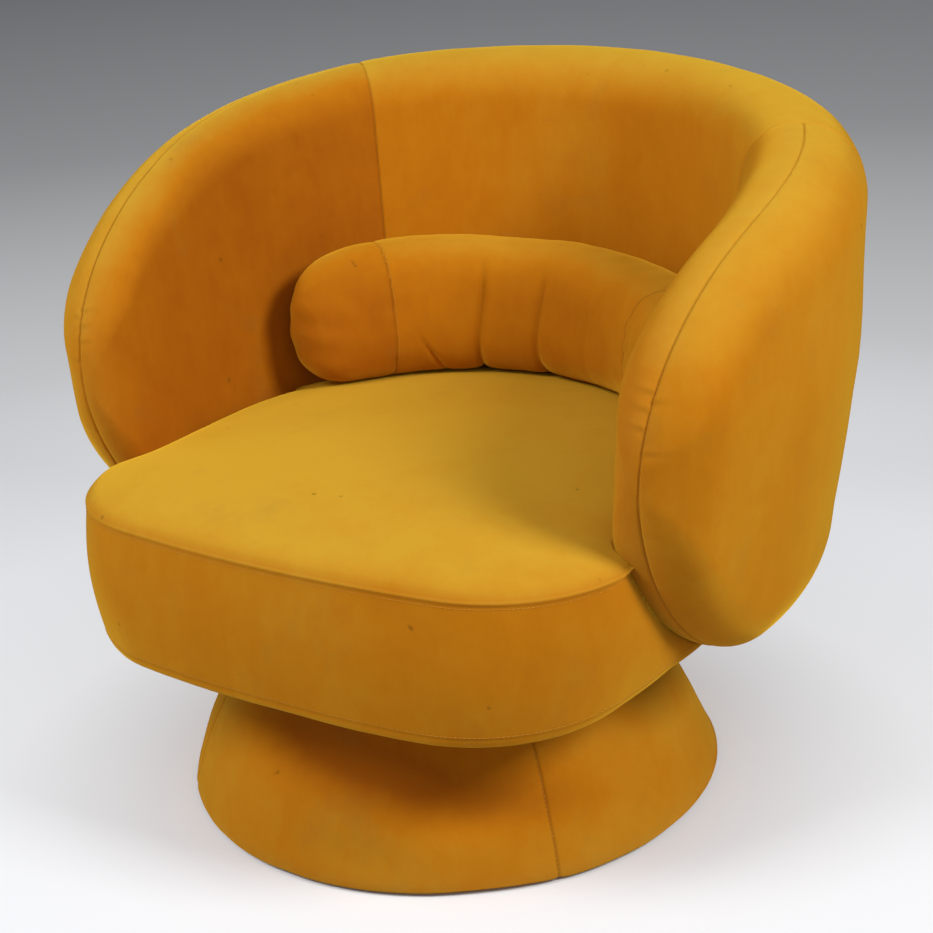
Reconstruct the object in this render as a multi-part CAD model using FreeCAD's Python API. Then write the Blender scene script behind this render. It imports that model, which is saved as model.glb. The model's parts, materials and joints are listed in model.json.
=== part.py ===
import FreeCAD, Part
import math
import os

# Upholstered swivel chair: a padded barrel shell on a drum seat that turns on a flared base.
# Millimetres. Z is up, the sitter faces -Y, and the origin is on the floor at the swivel axis.
# Left and right are the sitter's, so left is +X.

Vec = FreeCAD.Vector
up = Vec(0, 0, 1)

# Fits between pieces
soft_gap = 0.3
running_gap = 0.05
overrun = 5.0

# Sheet and padding thicknesses
velvet = 4.0
pillow_velvet = 3.0
base_padding = 12.0
hardboard = 3.0
plywood = 15.0
floor_felt = 4.0
dust_cloth = 1.0

# Shell: the padded wall that forms back and arms
shell_centre_y = 32.0
rim_radius = 322.0
rim_half_angle = 93.0
arm_length = 180.0
back_wall = 133.0
nose_wall = 88.0
inner_wall_share = 0.39
wall_lean_share = 0.08
nose_round = 60.0
nose_height = 414.0
rim_height = 689.0
shell_bottom = 189.0
belly_length = 180.0
rim_fall_power = 2.5
rim_crown_power = 2.14
belly_fall_power = 1.4
belly_crown_power = 1.71
nose_tip_angle = 3.0
rounding_limit_share = 0.45
shell_section_count = 27
shell_chord_count = 5
shell_foam_chord_count = 3
side_seam_angle = 48.5

# Box frame of bent boards, rail and ribs inside the shell
frame_depth = 28.0
frame_board = 4.0
frame_cover = 40.0
frame_rail = 24.0
frame_rib = 20.0
frame_section_count = 19
frame_rib_angles = (-78.0, -52.0, -26.0, 0.0, 26.0, 52.0, 78.0)

# Seat: a rounded square drum under a crowned top
seat_side_tuck = 12.0
seat_front = 286.0
seat_widest_y = -47.0
seat_rear_tuck = 47.0
seat_seam_height = 327.0
seat_crown = 46.0
hem_side_taper = 18.0
hem_front = 295.0
hem_widest_y = -52.0
hem_rear_taper = 17.0
seat_hem_height = 189.0
band_bulge = 8.0
seat_front_radius = 1450.0
seat_side_radius = 980.0
seat_corner_radius = 143.0
band_step_count = 3
crown_angles = (75.0, 60.0, 45.0, 30.0, 15.0, 3.0)
seat_chord_counts = (5, 5, 3, 7)
seat_foam_chord_counts = (3, 3, 2, 5)

# Seat frame and suspension
seat_rail_inset = 36.0
seat_rail = 22.0
seat_rail_height = 57.0
strap_width = 56.0
strap_thickness = 2.0
strap_pitch = 84.0
strap_count = 5
strap_landing = 18.0

# Base: a flared drum with a full foot
base_widest = 273.0
base_widest_height = 25.0
base_bulge_radius = 113.0
base_flare_angle = 32.0
base_top = 165.0
base_flap = 40.0
base_seam_angle = 54.0
foot_inset = 14.0
base_side_count = 48
base_inner_side_count = 20
rib_count = 8
rib_thickness = 15.0
rib_hub_radius = 60.0

# Swivel between base and seat: two plates that turn on a slide ring round a central pin
plate_side = 200.0
plate_thickness = 3.0
boss_radius = 66.0
boss_height = 7.0
slide_ring_outer = 62.0
slide_ring_inner = 40.0
boss_side_count = 36
hole_side_count = 8
hexagon_side_count = 6
pin_radius = 10.0
pin_head_flats = 32.0
pin_head_height = 6.0
pin_well_radius = 24.0

# Bolts and screws
bolt_spacing = 160.0
bolt_radius = 4.0
bolt_head_flats = 13.0
bolt_head_height = 5.3
nut_height = 6.5
bolt_end = 3.0
screw_angles = (-80.0, -40.0, 0.0, 40.0, 80.0)
screw_height = 241.0
screw_grip = 12.0
screw_recess = 3.0
screw_recess_radius = 9.0

# Loose lumbar pillow
pillow_half_angle = 85.0
pillow_height = 150.0
pillow_top = 503.0
pillow_depth = 100.0
pillow_gap = 2.5
pillow_squareness_power = 0.79
pillow_end_power = 5.0
pillow_end_round_power = 2.4
pillow_end_shares = (0.995, 0.965, 0.91, 0.83)
pillow_step_angle = 6.0
pillow_channel_angles = (-54.0, -24.0, 0.0, 24.0, 54.0)
pillow_channel_depth = 5.0
pillow_chord_count = 3
pillow_fill_chord_count = 2

# Levels and lengths worked out from the sizes above
seat_half_width = rim_radius - seat_side_tuck
seat_rear = shell_centre_y + rim_radius - seat_rear_tuck
hem_half_width = seat_half_width - hem_side_taper
hem_rear = seat_rear - hem_rear_taper
board_under = seat_hem_height + dust_cloth
board_top = board_under + plywood
strap_under = board_top + seat_rail_height
strap_top = strap_under + 2 * strap_thickness
lower_plate_top = base_top + plate_thickness
upper_plate_under = board_under - plate_thickness
slide_ring_low = lower_plate_top + boss_height
slide_ring_high = upper_plate_under - boss_height - running_gap
rim_turn = math.radians(rim_half_angle)
rim_reach = rim_radius * rim_turn + arm_length
lining_inset = velvet + base_padding + hardboard
knee_height = base_widest_height + base_bulge_radius * math.sin(math.radians(base_flare_angle))
hem_sizes = (hem_half_width, hem_front, hem_widest_y, hem_rear)
seam_sizes = (seat_half_width, seat_front, seat_widest_y, seat_rear)


def line(a, b):
    return Part.LineSegment(a, b).toShape()


def arc(a, b, c):
    return Part.Arc(a, b, c).toShape()


def closed(points):
    return Part.makePolygon(points + points[:1])


def loft(rows):
    """A closed solid through rows of points, skinned with flat triangles."""
    faces = [Part.Face(closed(rows[0])), Part.Face(closed(rows[-1]))]
    for near, far in zip(rows, rows[1:]):
        for k in range(len(near)):
            after = (k + 1) % len(near)
            faces.append(Part.Face(closed([near[k], near[after], far[after]])))
            faces.append(Part.Face(closed([near[k], far[after], far[k]])))
    return Part.makeSolid(Part.makeShell(faces))


def polar(radius, degrees, height=0.0):
    """A point round the shell's centre; 0 degrees is the middle of the back."""
    turn = math.radians(degrees)
    return Vec(radius * math.sin(turn), shell_centre_y + radius * math.cos(turn), height)


def cylinder(radius, low, high):
    return Part.makeCylinder(radius, high - low, up * low)


def prism(radius, low, high, side_count):
    """An upright prism round the swivel axis, its sides at a radius."""
    corner = radius / math.cos(math.pi / side_count)
    turns = [2 * math.pi * (k + 0.5) / side_count for k in range(side_count)]
    return slab([Vec(corner * math.cos(turn), corner * math.sin(turn), low) for turn in turns], high)


def hole(radius, low, high):
    """A few-sided bore that just clears a shaft of a radius."""
    return prism(radius, low, high, hole_side_count)


def slab(row, high):
    """An upright prism from a level row of points up to a height."""
    return Part.Face(closed(row)).extrude(up * (high - row[0].z))


def group(shapes):
    return Part.Compound([solid for shape in shapes for solid in shape.Solids])


def save(name, shape):
    shape.exportStep("parts/" + name + ".step")


# Shell

def rim_at(run):
    """Place and outward direction of the rim line at a run along it from the back's middle."""
    side = 1.0 if run >= 0 else -1.0
    turn = min(abs(run) / rim_radius, rim_turn)
    past = abs(run) - rim_radius * turn
    out = Vec(side * math.sin(turn), math.cos(turn), 0)
    along = Vec(side * math.cos(turn), -math.sin(turn), 0)
    return Vec(0, shell_centre_y, 0) + out * rim_radius + along * past, out


def wall_at(share):
    return back_wall + (nose_wall - back_wall) * share ** 2


def wall_levels(run, inset):
    """Top and bottom of the wall at a run, drawn in by inset."""
    share = abs(run) / (rim_reach - inset)
    rise = rim_height - inset - nose_height
    drop = nose_height - shell_bottom - inset
    back = min((rim_reach - inset - abs(run)) / (belly_length - inset), 1.0)
    top = nose_height + rise * (1 - share ** rim_fall_power) ** (1 / rim_crown_power)
    low = nose_height - drop * (1 - (1 - back) ** belly_fall_power) ** (1 / belly_crown_power)
    return top, low


def wall_point(run, across, height):
    """A point of the wall, across the rim line and leaning outward with height."""
    place, out = rim_at(run)
    return place + out * (across + wall_lean_share * (height - nose_height)) + up * height


def runs_along(count, inset):
    """Runs from nose to nose, closer together at the noses."""
    steps = [nose_tip_angle + (180.0 - 2 * nose_tip_angle) * k / (count - 1) for k in range(count)]
    return [-(rim_reach - inset) * math.cos(math.radians(step)) for step in steps]


def shell_section(run, inset, chords):
    """The wall's outline across the rim line: two straight sides and four quarter rounds."""
    top, low = wall_levels(run, inset)
    share = abs(run) / (rim_reach - inset)
    tip = min((rim_reach - inset - abs(run)) / (nose_round - inset), 1.0)
    closing = math.sqrt(1 - (1 - tip) ** 2)
    inner = (inner_wall_share * wall_at(share) - inset) * closing
    outer = ((1 - inner_wall_share) * wall_at(share) - inset) * closing
    limit = rounding_limit_share * (top - low)
    row = []
    for across, level, sense in ((outer, top, -1), (outer, low, 1), (-inner, low, 1), (-inner, top, -1)):
        backward = across * sense > 0
        radius = min(abs(across), limit)
        for j in range(chords):
            turn = math.pi / 2 * (chords - j if backward else j) / chords
            row.append(wall_point(run, across * math.sin(turn), level + sense * radius * (1 - math.cos(turn))))
        if not backward:
            row.append(wall_point(run, across, level + sense * radius))
    return row


def shell_rows(inset, chords):
    """Sections of the whole wall from nose to nose, drawn in by inset."""
    return [shell_section(run, inset, chords) for run in runs_along(shell_section_count, inset)]


def frame_form(near, far, inset, gap=0.0):
    """A bent board inside the wall, between two offsets of the rim line, short of its edges by a gap."""
    rows = []
    for run in runs_along(frame_section_count, inset):
        top, low = wall_levels(run, inset)
        corners = ((near, low + gap), (far, low + gap), (far, top - gap), (near, top - gap))
        rows.append([wall_point(run, across, height) for across, height in corners])
    return loft(rows)


def outer_zone():
    """All the space outside the rim line, which parts the inner covers from the outer ones."""
    wires = []
    ends = (-rim_reach, -rim_radius * rim_turn, -rim_radius * rim_turn / 2, 0.0,
            rim_radius * rim_turn / 2, rim_radius * rim_turn, rim_reach)
    for height in (shell_bottom - overrun, rim_height + overrun):
        near = [wall_point(run, 0, height) for run in ends]
        far = [wall_point(run, back_wall, height) for run in ends]
        wires.append(Part.Wire([
            line(near[0], near[1]), arc(*near[1:4]), arc(*near[3:6]), line(near[5], near[6]),
            line(near[6], far[6]), line(far[6], far[5]), arc(*far[5:2:-1]), arc(*far[3:0:-1]),
            line(far[1], far[0]), line(far[0], near[0]),
        ]))
    return Part.makeLoft(wires, True, True)


def back_wedge():
    """The upright slice of space behind the two side seams."""
    far = rim_radius + 2 * back_wall
    row = [Vec(0, shell_centre_y, 0)]
    row += [polar(far, share * side_seam_angle) for share in (-1.0, -0.5, 0.0, 0.5, 1.0)]
    return slab(row, rim_height + overrun)


def frame_ribs(room):
    """Upright ribs between the frame's two boards, cut from the room inside the rail."""
    ribs = []
    for angle in frame_rib_angles:
        box = Part.makeBox(frame_rib, back_wall, rim_height, Vec(-frame_rib / 2, rim_radius - back_wall / 2, 0))
        box.rotate(Vec(0, 0, 0), up, -angle)
        box.translate(Vec(0, shell_centre_y, 0))
        ribs.append(room.common(box))
    return group(ribs)


# Screws that tie the seat's frame to the shell's rail

def screw_start(angle):
    """Distance from the shell's centre at which a screw's head bears in the seat rail."""
    middle, radius = rear_arc(hem_sizes, seat_rail_inset + seat_rail)
    offset = shell_centre_y - middle
    turn = math.radians(angle)
    face = math.sqrt(radius ** 2 - (offset * math.sin(turn)) ** 2) - offset * math.cos(turn)
    return face + screw_recess


def screw_end():
    lean = wall_lean_share * (screw_height - nose_height)
    return rim_radius + lean - frame_depth / 2 + frame_board + screw_grip


def round_back(shape):
    """Copies of a shape, drawn along +Y from the shell's centre, at each screw."""
    copies = []
    for angle in screw_angles:
        copy = shape(screw_start(angle))
        copy.rotate(Vec(0, 0, 0), up, -angle)
        copy.translate(Vec(0, shell_centre_y, screw_height))
        copies.append(copy)
    return group(copies)


def screw_hole(start):
    """The bore for a screw's shaft and the round recess that its head sits in."""
    bore = hole(bolt_radius, start, screw_end()).fuse(hole(screw_recess_radius, start - seat_rail, start))
    bore.rotate(Vec(0, 0, 0), Vec(1, 0, 0), -90)
    return bore


def screw(start):
    """A screw laid along +Y, with its head bearing at a start."""
    body = bolt(start - bolt_head_height, start, screw_end())
    body.rotate(Vec(0, 0, 0), Vec(1, 0, 0), -90)
    return body


# Seat

def rear_arc(sizes, inset):
    """Centre and radius of the round back of the drum's outline."""
    width, front, widest, rear = sizes
    reach = rear - widest - inset
    middle = (reach ** 2 - (width - inset) ** 2) / (2 * reach)
    return widest + middle, reach - middle


def arc_points(centre, start, end, count):
    """Points along an arc of under a half circle, from start to just before end."""
    sweep = end.sub(start).Length / 2 / start.sub(centre).Length
    sweep = 2 * math.asin(sweep)
    sense = 1.0 if (start - centre).cross(end - centre).z > 0 else -1.0
    turner = FreeCAD.Rotation(up, math.degrees(sense * sweep / count))
    points = [start]
    for _ in range(count - 1):
        points.append(centre + turner.multVec(points[-1] - centre))
    return points


def drum_row(sizes, height, inset, chords, scale=1.0):
    """A rounded square: front, corner and side arcs that meet smoothly, and a round back."""
    width, front, widest, rear = sizes
    half_width = (width - inset) * scale
    depth = (front + widest - inset) * scale
    reach = (rear - widest - inset) * scale
    front_radius, side_radius, corner_radius = [
        (radius - inset) * scale for radius in (seat_front_radius, seat_side_radius, seat_corner_radius)]
    front_centre = Vec(0, front_radius - depth, 0)
    side_centre = Vec(half_width - side_radius, 0, 0)
    between = side_centre - front_centre
    span = between.Length
    to_corner = front_radius - corner_radius
    from_side = side_radius - corner_radius
    along = (to_corner ** 2 - from_side ** 2 + span ** 2) / (2 * span)
    aside = math.sqrt(to_corner ** 2 - along ** 2)
    heading = between * (1 / span)
    corner = front_centre + heading * along + Vec(-heading.y, heading.x, 0) * aside
    front_end = front_centre + (corner - front_centre).normalize() * front_radius
    side_start = side_centre + (corner - side_centre).normalize() * side_radius
    rear_centre = Vec(0, (reach ** 2 - half_width ** 2) / (2 * reach), 0)
    stops = [Vec(0, -depth, 0), front_end, side_start, Vec(half_width, 0, 0), Vec(0, reach, 0)]
    centres = (front_centre, corner, side_centre, rear_centre)
    right = []
    for centre, start, end, count in zip(centres, stops, stops[1:], chords):
        right += arc_points(centre, start, end, count)
    left = [Vec(-p.x, p.y, 0) for p in reversed(right[1:])]
    return [p + Vec(0, widest, height) for p in right + [stops[-1]] + left]


def seat_rows(inset, chords):
    """Sections of drum and crown, drawn in by inset; the underside stays at the hem's height."""
    rows = []
    for k in range(band_step_count + 1):
        share = k / band_step_count
        sizes = [low + (high - low) * share for low, high in zip(hem_sizes, seam_sizes)]
        bulge = band_bulge * math.sin(math.pi * share)
        height = seat_hem_height + (seat_seam_height - seat_hem_height) * share
        rows.append(drum_row(sizes, height, inset - bulge, chords))
    for angle in crown_angles:
        turn = math.radians(angle)
        height = seat_seam_height + (seat_crown - inset) * math.cos(turn)
        rows.append(drum_row(seam_sizes, height, inset, chords, math.sin(turn)))
    return rows


def hem_prism(inset, low, high):
    return slab(drum_row(hem_sizes, low, inset, seat_foam_chord_counts), high)


def straps(low, across):
    """Webbing straps stretched over the seat rail, from side to side or from front to back."""
    landing = hem_prism(seat_rail_inset + seat_rail - strap_landing, low, low + strap_thickness)
    length = 2 * (hem_half_width + hem_front)
    middle = (hem_rear - hem_front) / 2
    rows = []
    for k in range(strap_count):
        place = strap_pitch * (k - (strap_count - 1) / 2)
        if across:
            box = Part.makeBox(length, strap_width, strap_thickness,
                               Vec(-length / 2, middle + place - strap_width / 2, low))
        else:
            box = Part.makeBox(strap_width, length, strap_thickness,
                               Vec(place - strap_width / 2, -length / 2, low))
        rows.append(landing.common(box))
    return group(rows)


# Base

def base_radius(inset, height):
    """Radius of the base's outline, drawn in by inset, at a height: a bulge, then a cone."""
    radius = base_bulge_radius - inset
    flare = math.radians(base_flare_angle)
    centre = base_widest - base_bulge_radius
    knee = base_widest_height + radius * math.sin(flare)
    if height <= knee:
        return centre + math.sqrt(radius ** 2 - (height - base_widest_height) ** 2)
    return centre + radius * math.cos(flare) - (height - knee) * math.tan(flare)


def base_block(inset, low, high, side_count=base_inner_side_count):
    """The base, drawn in by inset, as a many-sided solid between two heights."""
    levels = [low + (knee_height - low) * k / 3 for k in range(4)] + [high]
    turns = [2 * math.pi * k / side_count for k in range(side_count)]
    rows = []
    for level in levels:
        radius = base_radius(inset, level)
        rows.append([Vec(radius * math.cos(turn), radius * math.sin(turn), level) for turn in turns])
    return loft(rows)


def base_panel(skin, start, angle):
    """The part of the base's skin between two seams."""
    far = 2 * base_widest
    row = [Vec(0, 0, 0)]
    for k in range(5):
        turn = math.radians(start + angle * k / 4)
        row.append(Vec(far * math.cos(turn), far * math.sin(turn), 0))
    return skin.common(slab(row, base_top + velvet + overrun))


def base_ribs(core):
    """Upright ribs between the base's two boards, cut from its core and short of its middle."""
    low = floor_felt + plywood
    high = base_top - plywood
    room = core.common(cylinder(base_widest, low, high)).cut(hole(rib_hub_radius, low - overrun, high + overrun))
    ribs = []
    for k in range(rib_count):
        box = Part.makeBox(base_widest, rib_thickness, base_top, Vec(0, -rib_thickness / 2, 0))
        box.rotate(Vec(0, 0, 0), up, 360.0 * (k + 0.5) / rib_count)
        ribs.append(room.common(box))
    return group(ribs)


# Swivel and its bolts

def hexagon(flats, low, high):
    """An upright hexagon prism of a width across its flats."""
    return prism(flats / 2, low, high, hexagon_side_count)


def bolt_places():
    reach = bolt_spacing / 2
    return [Vec(sx * reach, sy * reach, 0) for sx in (-1, 1) for sy in (-1, 1)]


def at_bolts(shape):
    """A copy of a shape at each of the four corners of the bolt pattern."""
    copies = []
    for place in bolt_places():
        copy = shape.copy()
        copy.translate(place)
        copies.append(copy)
    return group(copies)


def bolt(head_low, head_high, tip):
    """A hexagon bolt whose shaft runs from its head to a tip above or below it."""
    head = hexagon(bolt_head_flats, head_low, head_high)
    shaft = cylinder(bolt_radius, min(tip, head_low), max(tip, head_high))
    return head.fuse(shaft).removeSplitter()


def nut(low):
    """A hexagon nut with its plain face down at a height."""
    body = hexagon(bolt_head_flats, low, low + nut_height)
    return body.cut(hole(bolt_radius, low - overrun, low + nut_height + overrun))


def swivel_plate(low, boss_low, bore):
    """A square plate with a round boss, a bore for the pin and four bolt holes."""
    plate = Part.makeBox(plate_side, plate_side, plate_thickness, Vec(-plate_side / 2, -plate_side / 2, low))
    boss = prism(boss_radius, boss_low, boss_low + boss_height, boss_side_count)
    plate = plate.fuse(boss).removeSplitter()
    holes = at_bolts(hole(bolt_radius, low - overrun, low + plate_thickness + overrun))
    return plate.cut(holes).cut(cylinder(bore, low - boss_height - overrun, low + boss_height + overrun))


# Loose lumbar pillow

def pillow_section(angle, inset, chords):
    """The pillow's outline across its length, at an angle round the shell's centre."""
    closing = (1 - (abs(angle) / pillow_half_angle) ** pillow_end_power) ** (1 / pillow_end_round_power)
    drawn = inset * closing + (pillow_channel_depth if angle in pillow_channel_angles else 0.0)
    deep = pillow_depth / 2 * closing - drawn
    tall = pillow_height / 2 * closing - drawn
    run = rim_radius * math.radians(angle)
    back = rim_radius - inner_wall_share * wall_at(abs(run) / rim_reach) - pillow_gap
    row = []
    for k in range(4 * chords):
        turn = math.pi / 2 * k / chords
        x, z = [math.copysign(abs(v) ** pillow_squareness_power, v) for v in (math.cos(turn), math.sin(turn))]
        height = pillow_top - pillow_height / 2 + tall * z
        lean = wall_lean_share * (height - nose_height)
        row.append(polar(back + lean - pillow_depth / 2 + deep * x, angle, height))
    return row


def pillow_rows(inset, chords):
    """Sections from end to end, one at each channel and closer together at the ends."""
    steps = math.floor(pillow_end_shares[-1] * pillow_half_angle / pillow_step_angle)
    ends = [share * pillow_half_angle for share in pillow_end_shares]
    angles = [-end for end in ends] + [pillow_step_angle * k for k in range(1 - steps, steps)] + ends[::-1]
    return [pillow_section(angle, inset, chords) for angle in angles]


# Building

os.makedirs("parts", exist_ok=True)

# Shell
holes = round_back(screw_hole)
padding = loft(shell_rows(velvet, shell_foam_chord_count))
covers = loft(shell_rows(0.0, shell_chord_count)).cut(padding).cut(holes)
wedge = back_wedge()
save("back_cover", covers.common(wedge))
arm_covers = covers.cut(wedge)
outside = outer_zone()
reach = 2 * rim_reach
for side, left_end in (("left", 0.0), ("right", -reach)):
    room = Part.makeBox(reach, 2 * reach, rim_height + overrun, Vec(left_end, -reach, 0))
    arm = arm_covers.common(room)
    save("outer_arm_cover_" + side, arm.common(outside))
    save("inner_arm_cover_" + side, arm.cut(outside))

half_frame = frame_depth / 2
board_face = half_frame - frame_board
rail_face = board_face - soft_gap
save("shell_foam", padding.cut(frame_form(-half_frame, half_frame, frame_cover)).cut(holes))
save("frame_inner_board", frame_form(-half_frame, -board_face, frame_cover, soft_gap).cut(holes))
save("frame_outer_board", frame_form(board_face, half_frame, frame_cover, soft_gap))
rail_hole = frame_form(-half_frame, half_frame, frame_cover + frame_rail)
between = frame_form(-rail_face, rail_face, frame_cover, soft_gap)
save("frame_rail", between.cut(rail_hole).cut(holes))
save("frame_ribs", frame_ribs(between.common(rail_hole)))
save("joining_screws", round_back(screw))

# Seat, trimmed where the shell's wall comes down over it
wall = loft(shell_rows(-soft_gap, shell_chord_count))
cushion = loft(seat_rows(velvet, seat_foam_chord_counts))
skin = loft(seat_rows(0.0, seat_chord_counts)).cut(cushion).cut(wall)
reach = seat_half_width + seat_rear
above_seam = Part.makeBox(2 * reach, 2 * reach, seat_crown + overrun, Vec(-reach, -reach, seat_seam_height))
save("seat_top_cover", skin.common(above_seam))
save("seat_band_cover", skin.cut(above_seam).cut(holes))
cavity = hem_prism(seat_rail_inset, seat_hem_height - overrun, strap_top)
below = Part.makeBox(2 * reach, 2 * reach, board_under, Vec(-reach, -reach, 0))
save("seat_foam", cushion.cut(cavity).cut(below).cut(wall).cut(holes))
cloth = hem_prism(velvet + soft_gap, seat_hem_height, board_under)
save("seat_dust_cloth", cloth.cut(wall).cut(hole(plate_side, seat_hem_height - overrun, board_under + overrun)))
bolt_holes = at_bolts(hole(bolt_radius, base_top - plywood - overrun, board_top + overrun))
save("seat_board", hem_prism(seat_rail_inset, board_under, board_top).cut(bolt_holes))
rail = hem_prism(seat_rail_inset, board_top, strap_under)
save("seat_rail", rail.cut(hem_prism(seat_rail_inset + seat_rail, board_top, strap_under)).cut(holes))
save("webbing_long", straps(strap_under, False))
save("webbing_cross", straps(strap_under + strap_thickness, True))

# Base
low = floor_felt
save("floor_felt", prism(base_radius(foot_inset, low), 0.0, low, base_side_count))
core = base_block(lining_inset, low, base_top)
save("base_board", core.common(cylinder(base_widest, low, low + plywood)))
save("base_ribs", base_ribs(core))
well = hole(pin_well_radius, low, base_top + overrun)
top_board = core.common(cylinder(base_widest, base_top - plywood, base_top))
save("base_top_board", top_board.cut(well).cut(bolt_holes))
lining = base_block(velvet + base_padding, low, base_top)
save("base_lining", lining.cut(core))
padding = base_block(velvet, low, base_top)
save("base_foam", padding.cut(lining))
opening = hole(base_radius(0.0, base_top) - base_flap, base_top - overrun, base_top + velvet + overrun)
skin = base_block(0.0, low, base_top + velvet, base_side_count).cut(padding).cut(opening)
side_panel = 180.0 - base_seam_angle
save("base_cover_front", base_panel(skin, -90.0 - base_seam_angle, 2 * base_seam_angle))
save("base_cover_left", base_panel(skin, base_seam_angle - 90.0, side_panel))
save("base_cover_right", base_panel(skin, 90.0, side_panel))

# Swivel
bore = pin_radius + running_gap
save("swivel_lower_plate", swivel_plate(base_top, lower_plate_top, bore))
save("swivel_upper_plate", swivel_plate(upper_plate_under, upper_plate_under - boss_height, pin_radius))
slide_ring = prism(slide_ring_outer, slide_ring_low, slide_ring_high, boss_side_count)
slide_ring_hole = prism(slide_ring_inner, slide_ring_low, slide_ring_high, boss_side_count)
save("swivel_slide_ring", slide_ring.cut(slide_ring_hole))
head_top = base_top - soft_gap
head_low = head_top - pin_head_height
head = hexagon(pin_head_flats, head_low, head_top)
save("swivel_pin", cylinder(pin_radius, head_low, board_under).fuse(head).removeSplitter())
base_nut_low = base_top - plywood - nut_height
save("base_bolts", at_bolts(bolt(lower_plate_top, lower_plate_top + bolt_head_height, base_nut_low - bolt_end)))
save("base_nuts", at_bolts(nut(base_nut_low)))
seat_tip = board_top + nut_height + bolt_end
save("seat_bolts", at_bolts(bolt(upper_plate_under - bolt_head_height, upper_plate_under, seat_tip)))
save("seat_nuts", at_bolts(nut(board_top)))

# Pillow, resting on the seat's crown
rest = loft(seat_rows(-soft_gap, seat_chord_counts))
fill = loft(pillow_rows(pillow_velvet, pillow_fill_chord_count))
save("pillow_cover", loft(pillow_rows(0.0, pillow_chord_count)).cut(fill).cut(rest))
save("pillow_fill", fill.cut(rest))
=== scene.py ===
import json
import math

import bmesh
import bpy
import numpy as np
from mathutils import Matrix, Vector
from mathutils.bvhtree import BVHTree


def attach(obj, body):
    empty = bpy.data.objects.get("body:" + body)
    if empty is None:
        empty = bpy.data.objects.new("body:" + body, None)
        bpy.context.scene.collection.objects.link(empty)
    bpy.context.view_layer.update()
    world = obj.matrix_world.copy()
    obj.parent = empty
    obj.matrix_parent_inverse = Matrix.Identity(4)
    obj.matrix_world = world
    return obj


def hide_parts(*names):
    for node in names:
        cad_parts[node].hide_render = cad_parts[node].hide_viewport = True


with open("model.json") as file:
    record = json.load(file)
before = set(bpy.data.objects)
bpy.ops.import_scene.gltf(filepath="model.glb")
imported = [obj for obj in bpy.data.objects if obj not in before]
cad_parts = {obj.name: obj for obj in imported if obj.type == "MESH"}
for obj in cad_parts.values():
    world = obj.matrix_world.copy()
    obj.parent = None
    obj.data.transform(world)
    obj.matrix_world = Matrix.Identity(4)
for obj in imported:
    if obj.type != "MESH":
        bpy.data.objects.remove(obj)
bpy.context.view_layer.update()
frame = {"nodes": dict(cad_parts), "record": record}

bl_info = {
    "name": "Upholstered Swivel Chair",
    "version": (1, 0, 0),
    "blender": (4, 5, 0),
    "location": "View3D > Sidebar > Chair",
    "description": "Dresses a velvet barrel chair: shell, seat, lumbar pillow, flared base, seams and stage",
    "category": "Add Mesh",
}


# Colour and node helpers

def linear(hex_colour):
    """An sRGB hex colour as linear values, opaque."""
    channels = [int(hex_colour[k:k + 2], 16) / 255 for k in (1, 3, 5)]
    return tuple([c / 12.92 if c <= 0.04045 else ((c + 0.055) / 1.055) ** 2.4 for c in channels] + [1.0])


def add_node(tree, kind, settings=None, inputs=None, links=None, stops=()):
    """A node with its settings, its values by socket name, links from other nodes' sockets and, for a
    colour ramp, its stops as places and colours."""
    node = tree.nodes.new(kind)
    for key, value in (settings or {}).items():
        setattr(node, key, value)
    for key, value in (inputs or {}).items():
        node.inputs[key].default_value = value
    for key, socket in (links or {}).items():
        tree.links.new(socket, node.inputs[key])
    for number, (place, colour) in enumerate(stops):
        elements = node.color_ramp.elements
        element = elements[number] if number < len(elements) else elements.new(place)
        element.position = place
        element.color = colour
    return node


# Values that a user would change

def length_value(name, description, default):
    return bpy.props.FloatProperty(name=name, description=description, default=default, unit="LENGTH",
                                   precision=4)


def colour_value(name, description, hex_colour):
    return bpy.props.FloatVectorProperty(name=name, description=description, default=linear(hex_colour),
                                         subtype="COLOR", size=4, min=0.0, max=1.0)


class ChairShellSizes(bpy.types.PropertyGroup):
    """Sizes of the padded wall that forms back and arms."""
    centre_y: length_value("Centre", "Distance of the wall's centre behind the swivel axis", 0.032)
    rim_radius: length_value("Rim radius", "Radius of the rim line in plan", 0.322)
    arm_length: length_value("Arm length", "Straight part of each arm, to its nose", 0.180)
    back_wall: length_value("Back thickness", "Thickness of the wall at the middle of the back", 0.133)
    nose_wall: length_value("Nose thickness", "Thickness of the wall at the arms' noses", 0.088)
    nose_height: length_value("Nose height", "Height of the foremost point of each arm", 0.414)
    rim_height: length_value("Rim height", "Height of the rim at the middle of the back", 0.689)
    bottom: length_value("Bottom", "Height of the wall's lower edge", 0.189)
    seam_depth: length_value("Seam depth", "How deep a seam draws the velvet in", 0.0018)


class ChairSeatSizes(bpy.types.PropertyGroup):
    """Sizes of the drum seat."""
    half_width: length_value("Half width", "Half the seat's width at its seam", 0.310)
    front: length_value("Front", "Distance of the seam's front from the swivel axis", 0.286)
    widest_y: length_value("Widest place", "Where along Y the seat is widest", -0.047)
    rear: length_value("Rear", "Distance of the seam's rear from the swivel axis", 0.307)
    seam_height: length_value("Seam height", "Height of the seam round the top", 0.327)
    crown: length_value("Crown", "Rise of the cushion above its seam", 0.046)
    bottom: length_value("Bottom", "Height of the seat's lower edge", 0.189)
    bulge: length_value("Bulge", "How far the band swells between its edges", 0.008)


class ChairPillowSizes(bpy.types.PropertyGroup):
    """Sizes of the loose lumbar pillow."""
    height: length_value("Height", "Height of the pillow", 0.150)
    depth: length_value("Depth", "Thickness of the pillow, front to back", 0.100)
    top: length_value("Top", "Height of the pillow's upper edge", 0.503)
    half_angle: bpy.props.FloatProperty(
        name="Half length", description="Half the angle that the pillow spans", default=math.radians(85.0),
        subtype="ANGLE")


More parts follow.
